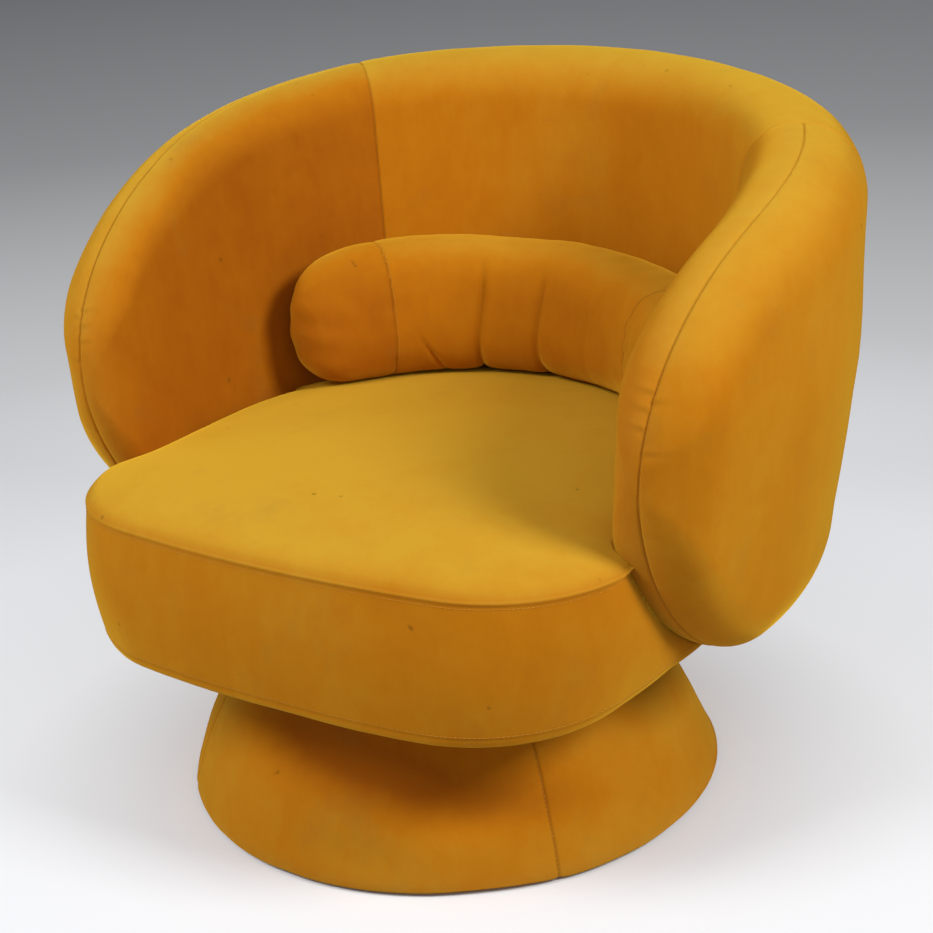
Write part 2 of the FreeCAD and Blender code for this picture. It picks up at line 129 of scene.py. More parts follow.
class ChairBaseSizes(bpy.types.PropertyGroup):
    """Sizes of the flared base."""
    widest: length_value("Widest radius", "Radius of the base where it bulges most", 0.273)
    widest_height: length_value("Bulge height", "Height of the widest place", 0.025)
    bulge_radius: length_value("Bulge rounding", "Radius of the bulge's profile", 0.113)
    top: length_value("Top", "Height of the base's top", 0.169)
    felt: length_value("Felt", "Thickness of the felt under the base", 0.004)


class ChairStitchSizes(bpy.types.PropertyGroup):
    """Sizes of the sewing."""
    pitch: length_value("Pitch", "Distance from one stitch to the next", 0.0042)
    stitch: length_value("Stitch", "Length of a stitch", 0.0030)
    thread: length_value("Thread", "Thickness of the thread", 0.0005)


class ChairColours(bpy.types.PropertyGroup):
    """Colours of the finishes."""
    velvet: colour_value("Velvet", "The velvet's own colour", "#BD730E")
    # Besides the nap's random tone, these two colours carry the painted light on upward faces and the painted
    # shade in hollows and under the seat.
    velvet_pale_and_lit: colour_value("Velvet brushed up", "Where the nap lies towards the light", "#C8972A")
    velvet_deep_and_shaded: colour_value("Velvet brushed down", "Where the nap lies away from the light", "#A1560A")
    floor: colour_value("Floor", "The studio floor", "#F5F7FA")


def sizes(group):
    return getattr(bpy.context.scene, "chair_" + group)


# Mesh helpers

def new_object(name, vertices, faces, smooth=True):
    """A mesh object at the origin, with its faces turned outwards."""
    mesh = bpy.data.meshes.new(name)
    mesh.from_pydata([tuple(v) for v in vertices], [], faces)
    work = bmesh.new()
    work.from_mesh(mesh)
    bmesh.ops.recalc_face_normals(work, faces=work.faces)
    work.to_mesh(mesh)
    work.free()
    mesh.polygons.foreach_set("use_smooth", [smooth] * len(mesh.polygons))
    thing = bpy.data.objects.new(name, mesh)
    bpy.context.scene.collection.objects.link(thing)
    return thing


def tube_faces(rows, columns):
    """Faces of a closed tube over a grid of points: quads from ring to ring, and a lid at each end."""
    faces = []
    for i in range(rows - 1):
        for j in range(columns):
            k = (j + 1) % columns
            faces.append((i * columns + j, i * columns + k, (i + 1) * columns + k, (i + 1) * columns + j))
    faces.append(tuple(range(columns)))
    faces.append(tuple((rows - 1) * columns + j for j in range(columns)))
    return faces


def outward_normals(points, middle):
    """Unit normals over the rings of a tube, turned away from its middle."""
    across = np.roll(points, -1, axis=1) - np.roll(points, 1, axis=1)
    normals = np.cross(np.gradient(points, axis=0), across)
    normals /= np.maximum(np.linalg.norm(normals, axis=2, keepdims=True), 1e-9)
    return normals * math.copysign(1.0, np.sum(normals * (points - middle)))


def soft_waves(points, wavelength, seed):
    """Smooth unevenness between -1 and 1 over points in space, from a few slanted waves."""
    random = np.random.default_rng(seed)
    total = np.zeros(points.shape[:-1])
    for _ in range(7):
        heading = random.normal(size=3)
        heading *= 2 * math.pi / (wavelength * np.linalg.norm(heading) * random.uniform(0.7, 1.5))
        total += np.sin(points @ heading + random.uniform(0, 2 * math.pi))
    return total / 7


def bell(distance, width):
    return np.exp(-(distance / width) ** 2)


def seam_dip(distance, depth):
    """How far a seam draws the cloth in, with a slight swell on each side of it."""
    away = np.abs(distance)
    crease, slope, swell = bell(away, 0.0013), 0.25 * bell(away, 0.006), 0.12 * bell(away - 0.014, 0.008)
    return -depth * crease - depth * slope + depth * swell


def painted_top_light(normals):
    """How far a skin faces upwards: the share of painted light from above that it gets."""
    return np.clip(normals[..., 2], 0.0, 1.0) ** 2


def set_attribute(thing, name, values):
    layer = thing.data.attributes.new(name, "FLOAT", "POINT")
    layer.data.foreach_set("value", np.asarray(values, dtype=np.float32).ravel())


def give_material(thing, material):
    thing.data.materials.clear()
    thing.data.materials.append(material)


def finish_of(name):
    """A finish made earlier, by its name."""
    material = bpy.data.materials.get(name)
    if material is None:
        raise RuntimeError("make the finishes first: " + name)
    return material


def cover(thing, body, fill, *nodes):
    """Clothes a padded piece in velvet, hangs it on its body and hides the nodes that it stands for."""
    give_material(thing, finish_of("Mustard cut velvet"))
    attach(thing, body)
    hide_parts(*nodes)


def bake(thing, modifier):
    """Puts a modifier's result into the mesh and removes the modifier."""
    graph = bpy.context.evaluated_depsgraph_get()
    mesh = bpy.data.meshes.new_from_object(thing.evaluated_get(graph), depsgraph=graph)
    thing.modifiers.remove(modifier)
    old = thing.data
    thing.data = mesh
    bpy.data.meshes.remove(old)
    if len(mesh.polygons) == 0:
        raise RuntimeError("nothing was left of " + thing.name)


def read_places(mesh):
    """The mesh's vertices as rows of an array."""
    places = np.zeros(len(mesh.vertices) * 3)
    mesh.vertices.foreach_get("co", places)
    return places.reshape(-1, 3)


# The wall's form, shared by the shell, the seat's notch and the pillow's back

RIM_HALF_ANGLE = math.radians(93.0)
INNER_SHARE = 0.39
LEAN = 0.08
NOSE_ROUND = 0.060
BELLY_LENGTH = 0.180
# The seams between back and arms, at the sitter's right and left.
PANEL_ANGLES = (math.radians(48.5), math.radians(61.0))
RIM_SEAM_OFFSET = 0.009
# The room between the wall's skin and the notch that is cut for it in the seat.
NOTCH_GAP = 0.0008
# Puckers across the rim seam at the front of the arms: height, outer (1) or inner (-1) side, strength.
PUCKERS = ((0.496, -1, 1.0), (0.482, -1, 0.8), (0.467, -1, 0.9), (0.489, 1, 0.9), (0.447, 1, 0.8),
           (0.368, 1, 0.6), (0.346, 1, 0.5), (0.520, -1, 0.4))


def rim_reach():
    shell = sizes("shell")
    return shell.rim_radius * RIM_HALF_ANGLE + shell.arm_length


def rim_frame(run):
    """Places on the rim line in plan and the outward directions there."""
    shell = sizes("shell")
    side = np.where(run >= 0, 1.0, -1.0)
    turn = np.minimum(np.abs(run) / shell.rim_radius, RIM_HALF_ANGLE)
    past = np.abs(run) - shell.rim_radius * turn
    out = np.stack([side * np.sin(turn), np.cos(turn), np.zeros_like(run)], axis=-1)
    along = np.stack([side * np.cos(turn), -np.sin(turn), np.zeros_like(run)], axis=-1)
    centre = np.array([0.0, shell.centre_y, 0.0])
    return centre + out * shell.rim_radius + along * past[..., None], out


def wall_thickness(run):
    shell = sizes("shell")
    return shell.back_wall + (shell.nose_wall - shell.back_wall) * (np.abs(run) / rim_reach()) ** 2


def wall_heights(run):
    """Top and bottom of the wall along the rim line."""
    shell = sizes("shell")
    share = np.minimum(np.abs(run) / rim_reach(), 1.0)
    back = np.clip((rim_reach() - np.abs(run)) / BELLY_LENGTH, 0.0, 1.0)
    # Both edges are rounded-off ellipses that meet at the nose; the rim also dips a little on its way down.
    top = shell.nose_height + (shell.rim_height - shell.nose_height) * (1 - share ** 2.5) ** (1 / 2.14)
    top = top - np.where(run > 0, 0.010, 0.006) * np.sin(math.pi * np.clip(run / 0.66, -1.0, 1.0))
    low = shell.nose_height - (shell.nose_height - shell.bottom) * (1 - (1 - back) ** 1.4) ** (1 / 1.71)
    return top, low


def wall_runs():
    """Places along the rim line: even in the middle, close at the panel seams and round the noses."""
    reach = rim_reach()
    angles = np.radians(np.concatenate([[0.5], np.arange(1.4, 21.6, 0.9), np.arange(22.0, 66.5, 1.1),
                                        np.arange(68.0, 90.0, 3.75)]))
    nose = reach - NOSE_ROUND * (1 - np.cos(angles))
    aside = np.array([0.0007, 0.0014, 0.0022, 0.0034, 0.005, 0.0075])
    halves = []
    for angle in PANEL_ANGLES:
        panel_run = sizes("shell").rim_radius * angle
        middle = np.arange(0.0, reach - NOSE_ROUND, 0.0045)
        middle = middle[np.abs(middle - panel_run) > 0.011]
        close = panel_run + np.concatenate([-aside, [0.0], aside])
        halves.append(np.sort(np.concatenate([middle, close, nose])))
    return np.concatenate([-halves[0][::-1], halves[1][1:]])


def wall_grid(grow=0.0):
    """The wall's points as one ring to a section, how far each lies across the rim line, and the sections'
    runs. The rings start at the top, go down the outside, and come back up the inside."""
    shell = sizes("shell")
    runs = wall_runs()
    top, low = wall_heights(runs)
    tip = np.clip((rim_reach() - np.abs(runs)) / NOSE_ROUND, 0.0, 1.0)
    closing = np.sqrt(np.maximum(1 - (1 - tip) ** 2, 0.0))
    inner = INNER_SHARE * wall_thickness(runs) * closing + grow
    outer = (1 - INNER_SHARE) * wall_thickness(runs) * closing + grow
    top, low = top + grow, low - grow
    limit = 0.45 * (top - low)
    # On the outer quarter rounds the points lie close together beside the rim seam.
    beside = np.array([-9, -7, -5, -3.4, -2.2, -1.4, -0.7, 0, 0.7, 1.4, 2.2, 3.4, 5, 7])
    beside = RIM_SEAM_OFFSET + 0.001 * beside
    narrow = np.minimum(outer / 0.021, 1.0)
    turns = np.arcsin(np.minimum(beside[None, :] * narrow[:, None] / outer[:, None], 0.99))
    rest = turns[:, -1:] + (math.pi / 2 - turns[:, -1:]) * np.arange(1, 15)[None, :] / 15
    outer_turns = np.concatenate([turns, rest], axis=1)
    inner_turns = np.full((len(runs), 1), 1.0) * math.pi / 2 * np.arange(1, 14)[None, :] / 14
    rise = np.arange(17)[None, :] / 16
    out_radius = np.minimum(outer, limit)[:, None]
    in_radius = np.minimum(inner, limit)[:, None]
    outer, inner, top, low = [v[:, None] for v in (outer, inner, top, low)]
    parts = [
        (outer * np.sin(outer_turns), top - out_radius * (1 - np.cos(outer_turns))),
        (outer + 0 * rise, (top - out_radius) + (low - top + 2 * out_radius) * rise),
        (outer * np.sin(outer_turns[:, ::-1]), low + out_radius * (1 - np.cos(outer_turns[:, ::-1]))),
        (-inner * np.sin(inner_turns), low + in_radius * (1 - np.cos(inner_turns))),
        (-inner + 0 * rise, (low + in_radius) + (top - low - 2 * in_radius) * rise),
        (-inner * np.sin(inner_turns[:, ::-1]), top - in_radius * (1 - np.cos(inner_turns[:, ::-1]))),
    ]
    across = np.concatenate([part[0] for part in parts], axis=1)
    height = np.concatenate([part[1] for part in parts], axis=1)
    place, out = rim_frame(runs)
    # The outside swells a little at arm height and is pulled in towards the seat's hem.
    side = 0.5 + 0.5 * np.clip(place[:, None, 0] / 0.30, -1.0, 1.0)
    swell = 0.006 * side * bell(height - 0.450, 0.075) - 0.005 * bell(height - 0.260, 0.055)
    across = across + swell * np.clip(across / 0.040, 0.0, 1.0) ** 2
    grid = place[:, None, :] + out[:, None, :] * (across + LEAN * (height - shell.nose_height))[..., None]
    grid[..., 2] = height
    return grid, across, runs


def inner_face_radius(run, height):
    """Distance from the wall's centre to its inner face, round the back."""
    shell = sizes("shell")
    return shell.rim_radius - INNER_SHARE * wall_thickness(run) + LEAN * (height - shell.nose_height)


# Finishes

def velvet_material(colours):
    """Cotton velvet, woven and cut to a short pile: tone that wanders where the nap was brushed about,
    painted light and shade from each piece's attribute, a warm sheen at grazing angles, darker lines in the
    seams, paler edges that are partly wear and partly painted sheen, and a few soiled places."""
    material = bpy.data.materials.new("Mustard cut velvet")
    material.use_nodes = True
    tree = material.node_tree
    shader = tree.nodes["Principled BSDF"]
    place = add_node(tree, "ShaderNodeTexCoord").outputs["Object"]
    upright = add_node(tree, "ShaderNodeMapping", None, {"Scale": (1.0, 1.0, 0.35)}, {"Vector": place})
    # Brushed areas about 200 mm across, hand marks of 50 mm, upright streaks of 12 mm, the pile, smudges of
    # 20 to 40 mm and spots of 3 to 6 mm. The pile's own grain is 0.3 mm; it is drawn at 1.2 mm so that it
    # shows. Each is a scale in features to a metre, a detail, a roughness and a distortion.
    noise = {}
    for name, *values in (("broad", 5.0, 2.0, 0.5, 0.0), ("marks", 21.0, 3.0, 0.55, 0.5),
                          ("streaks", 85.0, 3.0, 0.6, 0.0), ("pile", 830.0, 2.0, 0.7, 0.0),
                          ("smudges", 11.0, 5.0, 0.65, 0.0), ("spots", 62.0, 1.0, 0.5, 0.0)):
        made = add_node(tree, "ShaderNodeTexNoise", None,
                        dict(zip(("Scale", "Detail", "Roughness", "Distortion"), values)),
                        {"Vector": upright.outputs["Vector"] if name == "streaks" else place})
        noise[name] = made.outputs["Fac"]
    layers = noise["broad"]
    for share, name in ((0.42, "marks"), (0.20, "streaks"), (0.16, "pile")):
        mixed = add_node(tree, "ShaderNodeMix", {"data_type": "FLOAT"}, {"Factor": share},
                         {"A": layers, "B": noise[name]})
        layers = mixed.outputs["Result"]
    # Painted light and shade: each piece's own attribute lightens the colour where its skin faces up or a
    # ridge catches the light, and darkens it inside the arms, on the pillow and on the base under the seat.
    painted_light_and_shade, seam, wear_and_painted_sheen = [add_node(tree, "ShaderNodeAttribute", {"attribute_name": name}).outputs["Fac"]
                       for name in ("painted_light_and_shade", "seam", "wear_and_painted_sheen")]
    gentle = add_node(tree, "ShaderNodeMapRange", None, {"To Min": 0.22, "To Max": 0.78}, {"Value": layers})
    nap_tone_and_painted_light = add_node(tree, "ShaderNodeMath", {"operation": "ADD"}, None, {0: gentle.outputs["Result"], 1: painted_light_and_shade})
    nap = add_node(tree, "ShaderNodeValToRGB", None, None, {"Fac": nap_tone_and_painted_light.outputs[0]},
                   [(0.24, colours.velvet_deep_and_shaded), (0.50, colours.velvet), (0.80, colours.velvet_pale_and_lit)])
    shade = nap.outputs["Color"]
    # Grey-brown smudges left by hands and clothes, small spots, paler edges that are partly wear and partly
    # painted sheen, and dark seams.
    smudge = add_node(tree, "ShaderNodeMapRange", None, {"From Min": 0.58, "From Max": 0.80, "To Max": 0.26},
                      {"Value": noise["smudges"]})
    spot = add_node(tree, "ShaderNodeMapRange", None, {"From Min": 0.785, "From Max": 0.84, "To Max": 0.50},
                    {"Value": noise["spots"]})
    wear_and_sheen_marks = add_node(tree, "ShaderNodeMath", {"operation": "MULTIPLY"}, None, {0: wear_and_painted_sheen, 1: noise["marks"]})
    for colour, amount in (("#8F6A30", smudge.outputs["Result"]), ("#54340F", spot.outputs["Result"]),
                           ("#B0914A", wear_and_sheen_marks.outputs[0]), ("#5F3106", seam)):
        tinted = add_node(tree, "ShaderNodeMix", {"data_type": "RGBA"}, {"B": linear(colour)},
                          {"Factor": amount, "A": shade})
        shade = tinted.outputs["Result"]
    tree.links.new(shade, shader.inputs["Base Color"])
    rough = add_node(tree, "ShaderNodeMapRange", None, {"To Min": 0.80, "To Max": 0.98},
                     {"Value": noise["marks"]})
    tree.links.new(rough.outputs["Result"], shader.inputs["Roughness"])
    for key, value in (("Specular IOR Level", 0.05), ("Sheen Weight", 0.85), ("Sheen Roughness", 0.45),
                       ("Sheen Tint", linear("#F0C636"))):
        shader.inputs[key].default_value = value
    height = add_node(tree, "ShaderNodeMix", {"data_type": "FLOAT"}, {"Factor": 0.4},
                      {"A": noise["pile"], "B": noise["streaks"]})
    bump = add_node(tree, "ShaderNodeBump", None, {"Strength": 0.22, "Distance": 0.0010},
                    {"Height": height.outputs["Result"]})
    tree.links.new(bump.outputs["Normal"], shader.inputs["Normal"])
    return material


def plain_material(name, colour, darker, scale, settings, stretch=(1.0, 1.0, 1.0), relief=0.0003):
    """A material whose colour wanders between two shades, with a slight relief at the same scale."""
    material = bpy.data.materials.new(name)
    material.use_nodes = True
    tree = material.node_tree
    shader = tree.nodes["Principled BSDF"]
    place = add_node(tree, "ShaderNodeTexCoord").outputs["Object"]
    mapping = add_node(tree, "ShaderNodeMapping", None, {"Scale": stretch}, {"Vector": place})
    noise = add_node(tree, "ShaderNodeTexNoise", None, {"Scale": scale, "Detail": 4.0, "Roughness": 0.6},
                     {"Vector": mapping.outputs["Vector"]})
    ramp = add_node(tree, "ShaderNodeValToRGB", None, None, {"Fac": noise.outputs["Fac"]},
                    [(0.3, linear(darker)), (0.7, linear(colour))])
    tree.links.new(ramp.outputs["Color"], shader.inputs["Base Color"])
    bump = add_node(tree, "ShaderNodeBump", None, {"Strength": 0.4, "Distance": relief},
                    {"Height": noise.outputs["Fac"]})
    tree.links.new(bump.outputs["Normal"], shader.inputs["Normal"])
    for key, value in settings.items():
        shader.inputs[key].default_value = value
    return material


class CHAIR_OT_finishes(bpy.types.Operator):
    """Makes the finishes and gives every CAD node its own"""
    bl_idname = "chair.finishes"
    bl_label = "Finishes"

    def execute(self, context):
        colours = sizes("colours")
        made = {
            "velvet": velvet_material(colours),
            # Polyester thread: smooth, slightly glossy, a shade paler than the pile.
            "thread": plain_material("Polyester thread", "#D99C34", "#BC7D1E", 900.0,
                                     {"Roughness": 0.7, "Specular IOR Level": 0.2}),
            # Cut polyurethane foam: pale yellow with open cells of about 1 mm.
            "foam": plain_material("Polyurethane foam", "#EBDFB2", "#D9C98F", 900.0, {"Roughness": 0.95}),
            # Polyester fibre filling: white and woolly.
            "filling": plain_material("Polyester fibre", "#F2F0EA", "#DAD7CE", 260.0, {"Roughness": 0.95}),
            # Pressed wool felt: dark, matt, with fibres a few millimetres long.
            "felt": plain_material("Pressed felt", "#2A2624", "#171413", 420.0, {"Roughness": 0.95}),
            # Spun-bonded cloth under the seat: thin, dark and matt.
            "dust_cloth": plain_material("Spun-bonded cloth", "#2B2A29", "#1D1C1B", 500.0,
                                         {"Roughness": 0.9}),
            # Elastic webbing: black rubber thread in a woven strap, ribbed along its length.
            "webbing": plain_material("Elastic webbing", "#3A3632", "#211F1D", 260.0, {"Roughness": 0.85}),
            # Birch plywood, sawn: grain lines about 4 mm apart that run along X.
            "plywood": plain_material("Birch plywood", "#D9BD90", "#B8925F", 60.0, {"Roughness": 0.6},
                                      (0.12, 1.0, 1.0)),
            # Hardboard, pressed: brown, smooth on one side.
            "hardboard": plain_material("Hardboard", "#7C5A3C", "#5F432B", 300.0, {"Roughness": 0.7}),
            # Zinc-plated pressed steel: grey, with a faint rolled grain.
            "steel": plain_material("Zinc-plated steel", "#B9BBBD", "#9B9DA0", 120.0,
                                    {"Roughness": 0.38, "Metallic": 1.0}, (1.0, 0.1, 1.0), 0.0001),
            # Acetal, turned: off-white, waxy.
            "acetal": plain_material("Acetal", "#E4E2DA", "#D6D3C9", 80.0, {"Roughness": 0.4}),
        }
        for part in frame["record"]["subparts"]:
            node = frame["nodes"][part["node"]]
            give_material(node, made[part["material_slot"]])
        return {"FINISHED"}


# Stitches, laid along seams by Geometry Nodes

def stitch_tree():
    """Instances of one short thread along a curve, made real, with the thread's finish."""
    tree = bpy.data.node_groups.new("Row of stitches", "GeometryNodeTree")
    tree.interface.new_socket("Geometry", in_out="INPUT", socket_type="NodeSocketGeometry")
    for name in ("Pitch", "Stitch", "Thread"):
        tree.interface.new_socket(name, in_out="INPUT", socket_type="NodeSocketFloat")
    tree.interface.new_socket("Material", in_out="INPUT", socket_type="NodeSocketMaterial")
    tree.interface.new_socket("Geometry", in_out="OUTPUT", socket_type="NodeSocketGeometry")
    source = add_node(tree, "NodeGroupInput")
    spaced = add_node(tree, "GeometryNodeResampleCurve", {"mode": "LENGTH"}, None,
                      {"Curve": source.outputs["Geometry"], "Length": source.outputs["Pitch"]})
    tangent = add_node(tree, "GeometryNodeInputTangent")
    turned = add_node(tree, "FunctionNodeAlignRotationToVector", {"axis": "Z"}, None,
                      {"Vector": tangent.outputs["Tangent"]})
    half = add_node(tree, "ShaderNodeMath", {"operation": "MULTIPLY"}, {1: 0.5},
                    {0: source.outputs["Thread"]})
    thread = add_node(tree, "GeometryNodeMeshCylinder", None, {"Vertices": 6, "Side Segments": 1},
                      {"Radius": half.outputs[0], "Depth": source.outputs["Stitch"]})
    placed = add_node(tree, "GeometryNodeInstanceOnPoints", None, None,
                      {"Points": spaced.outputs["Curve"], "Instance": thread.outputs["Mesh"],
                       "Rotation": turned.outputs["Rotation"]})
    real = add_node(tree, "GeometryNodeRealizeInstances", None, None,
                    {"Geometry": placed.outputs["Instances"]})
    painted = add_node(tree, "GeometryNodeSetMaterial", None, None,
                       {"Geometry": real.outputs["Geometry"], "Material": source.outputs["Material"]})
    add_node(tree, "NodeGroupOutput", None, None, {"Geometry": painted.outputs["Geometry"]})
    return tree


def sew(name, paths, body):
    """Rows of stitches along paths of points, as one plain mesh on a body."""
    curve = bpy.data.curves.new(name + "_path", "CURVE")
    curve.dimensions = "3D"
    for path in paths:
        spline = curve.splines.new("POLY")
        spline.points.add(len(path) - 1)
        for point, place in zip(spline.points, path):
            point.co = (place[0], place[1], place[2], 1.0)
    guide = bpy.data.objects.new(name + "_path", curve)
    bpy.context.scene.collection.objects.link(guide)
    tree = bpy.data.node_groups.get("Row of stitches") or stitch_tree()
    sewing = guide.modifiers.new("Stitches", "NODES")
    sewing.node_group = tree
    values = sizes("stitches")
    given = {"Pitch": values.pitch, "Stitch": values.stitch, "Thread": values.thread,
             "Material": finish_of("Polyester thread")}
    for item in tree.interface.items_tree:
        if item.in_out == "INPUT" and item.name in given:
            sewing[item.identifier] = given[item.name]
    graph = bpy.context.evaluated_depsgraph_get()
    mesh = bpy.data.meshes.new_from_object(guide.evaluated_get(graph), depsgraph=graph)
    guide.modifiers.remove(sewing)
    bpy.data.objects.remove(guide)
    row = bpy.data.objects.new(name, mesh)
    bpy.context.scene.collection.objects.link(row)
    if len(mesh.polygons) == 0:
        raise RuntimeError("no stitches were made for " + name)
    if not mesh.materials:
        mesh.materials.append(finish_of("Polyester thread"))
    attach(row, body)
    return row


# Shell

def nose_line(wall, sign, high, low):
    """Points down the front of a nose, where the rim seam crosses it."""
    tree = BVHTree.FromObject(wall, bpy.context.evaluated_depsgraph_get())
    place, out = rim_frame(np.array(sign * rim_reach()))
    ahead = place - rim_frame(np.array(sign * (rim_reach() - 0.01)))[0]
    ahead /= np.linalg.norm(ahead)
    points = []
    for height in np.linspace(high, low, 30)[1:-1]:
        start = place + out * (RIM_SEAM_OFFSET + LEAN * (height - sizes("shell").nose_height)) + ahead * 0.05
        hit, normal, _, _ = tree.ray_cast(Vector((start[0], start[1], height)), Vector(-ahead))
        if hit is None:
            raise RuntimeError("the rim seam misses the nose")
        points.append(hit - normal * 0.0001)
    return points


class CHAIR_OT_shell(bpy.types.Operator):
    """Makes the padded wall that forms back and arms, with its seams and puckers"""
    bl_idname = "chair.shell"
    bl_label = "Shell"

    def execute(self, context):
        shell = sizes("shell")
        grid, across_rim, runs = wall_grid()
        normals = outward_normals(grid, grid.mean(axis=1, keepdims=True))
        panel_run = shell.rim_radius * np.where(runs < 0, *PANEL_ANGLES)[:, None]
        on_arm = np.abs(runs)[:, None] >= panel_run - 0.0001
        plan = np.linalg.norm(grid[..., :2] - np.array([0.0, shell.centre_y]), axis=2)
        panel_distance = (np.abs(runs)[:, None] - panel_run) * plan / shell.rim_radius
        rim = np.where(on_arm, across_rim - RIM_SEAM_OFFSET, 1.0)
        push = seam_dip(panel_distance, shell.seam_depth) + seam_dip(rim, shell.seam_depth)
        # Puckers cross the rim seam on the front of each arm: a fold with a hollow under it, slanting and
        # fading away from the seam.
        heights = grid[..., 2]
        front = grid[..., 1] < 0.02
        for height, side, strength in PUCKERS:
            on_side = (rim * side > 0.0) & (np.abs(rim) < 0.08) & front
            slant = heights - height - 0.10 * np.abs(rim)
            fold = bell(slant, 0.0026) - 0.8 * bell(slant + 0.005, 0.0030)
            fade = np.exp(-np.abs(rim) / 0.013) * (1 - bell(rim, 0.0015))
            push += on_side * strength * 0.0012 * fold * fade
        # Padding is never quite even: swells 240 mm and 70 mm long.
        push += 0.0016 * soft_waves(grid, 0.24, 3) + 0.0006 * soft_waves(grid, 0.07, 4)
        points = grid + normals * push[..., None]
        wall = new_object("shell_upholstery", points.reshape(-1, 3), tube_faces(*grid.shape[:2]))
        set_attribute(wall, "seam", 0.38 * np.maximum(bell(panel_distance, 0.0008), bell(rim, 0.0008)))
        # Paler along the rim on the arms: partly wear, partly painted sheen.
        set_attribute(wall, "wear_and_painted_sheen", 0.14 * bell(rim + 0.012, 0.020) * on_arm)
        # Painted light on the upward faces, and painted shade down the inner faces of the arms.
        inside = np.clip((RIM_SEAM_OFFSET - across_rim) / 0.045, 0.0, 1.0)
        set_attribute(wall, "painted_light_and_shade", 0.30 * painted_top_light(normals) - np.where(on_arm, 0.18, 0.0) * inside)
        cover(wall, "seat", 0.9, "back_cover", "inner_arm_cover_left", "inner_arm_cover_right",
              "outer_arm_cover_left", "outer_arm_cover_right", "shell_foam")
        # The thread lies at the bottom of the seams: round both panel seams, and along each rim seam from
        # the panel seam over the top, down the nose and back under the arm.
        sunk = points - normals * 0.0001
        paths = []
        # Where the rim seam lies in a section's ring: the eighth place going down, and the same coming back.
        upper, lower = 7, 28 + 17 + 20
        for sign, angle in ((-1, PANEL_ANGLES[0]), (1, PANEL_ANGLES[1])):
            start = shell.rim_radius * angle
            row = int(np.argmin(np.abs(runs - sign * start)))
            paths.append(np.concatenate([sunk[row], sunk[row, :1]]))
            wide = across_rim.max(axis=1) >= 0.021
            arm = np.where((runs * sign >= start - 0.0001) & wide)[0]
            order = arm[np.argsort(np.abs(runs[arm]))]
            ends = sunk[order[-1], upper, 2], sunk[order[-1], lower, 2]
            paths.append(np.concatenate([sunk[order, upper], nose_line(wall, sign, *ends),
                                         sunk[order[::-1], lower]]))
        sew("shell_stitches", paths, "seat")
        return {"FINISHED"}


# Seat

# The drum's plan in front of its widest place: radii of the front, the sides and the corners between them.
FRONT_ARC, SIDE_ARC, CORNER_ARC = 1.450, 0.980, 0.143
HEM_ROUND = 0.007
# Where the thread lies: under the seam round the top, and above the seat's lower edge.
SEAM_STITCH_DROP, HEM_STITCH_RISE = 0.0042, 0.0135


def seat_outline(half_width, front, widest, rear, count, inset=0.0):
    """Points round the drum: front, corners and sides as smooth arcs, and a round back."""
    front_radius, side_radius, corner_radius = FRONT_ARC - inset, SIDE_ARC - inset, CORNER_ARC - inset
    half, depth, reach = half_width - inset, front + widest - inset, rear - widest - inset
    front_centre = np.array([0.0, front_radius - depth])
    side_centre = np.array([half - side_radius, 0.0])
    between = side_centre - front_centre
    span = np.linalg.norm(between)
    to_corner, from_side = front_radius - corner_radius, side_radius - corner_radius
    along = (to_corner ** 2 - from_side ** 2 + span ** 2) / (2 * span)
    aside = math.sqrt(to_corner ** 2 - along ** 2)
    heading = between / span
    corner = front_centre + heading * along + np.array([-heading[1], heading[0]]) * aside
    from_front = (corner - front_centre) / np.linalg.norm(corner - front_centre)
    to_side = (corner - side_centre) / np.linalg.norm(corner - side_centre)
    rear_y = (reach ** 2 - half ** 2) / (2 * reach)

    def sweep(centre, radius, start, end):
        turns = np.linspace(start, end, 400)[:-1]
        return np.stack([centre[0] + radius * np.cos(turns), centre[1] + radius * np.sin(turns)], axis=1)

    corner_start = math.atan2(from_front[1], from_front[0])
    corner_end = math.atan2(to_side[1], to_side[0])
    right = np.concatenate([
        sweep(front_centre, front_radius, -math.pi / 2, corner_start),
        sweep(corner, corner_radius, corner_start, corner_end),
        sweep(side_centre, side_radius, corner_end, 0.0),
        sweep(np.array([0.0, rear_y]), reach - rear_y, math.atan2(-rear_y, half), math.pi / 2),
        np.array([[0.0, reach]]),
    ])
    lengths = np.concatenate([[0.0], np.cumsum(np.linalg.norm(np.diff(right, axis=0), axis=1))])
    wanted = np.linspace(0.0, lengths[-1], count // 2 + 1)
    half_points = np.stack([np.interp(wanted, lengths, right[:, k]) for k in (0, 1)], axis=1)
    mirrored = half_points[1:-1][::-1] * np.array([-1.0, 1.0])
    return np.concatenate([half_points, mirrored]) + np.array([0.0, widest])


def cut_away(thing, cutter):
    """Cuts one closed mesh out of another and removes the cutter."""
    cut = thing.modifiers.new("Notch", "BOOLEAN")
    cut.operation = "DIFFERENCE"
    cut.solver = "MANIFOLD"
    cut.object = cutter
    bake(thing, cut)
    bpy.data.objects.remove(cutter)
    thing.data.polygons.foreach_set("use_smooth", [True] * len(thing.data.polygons))


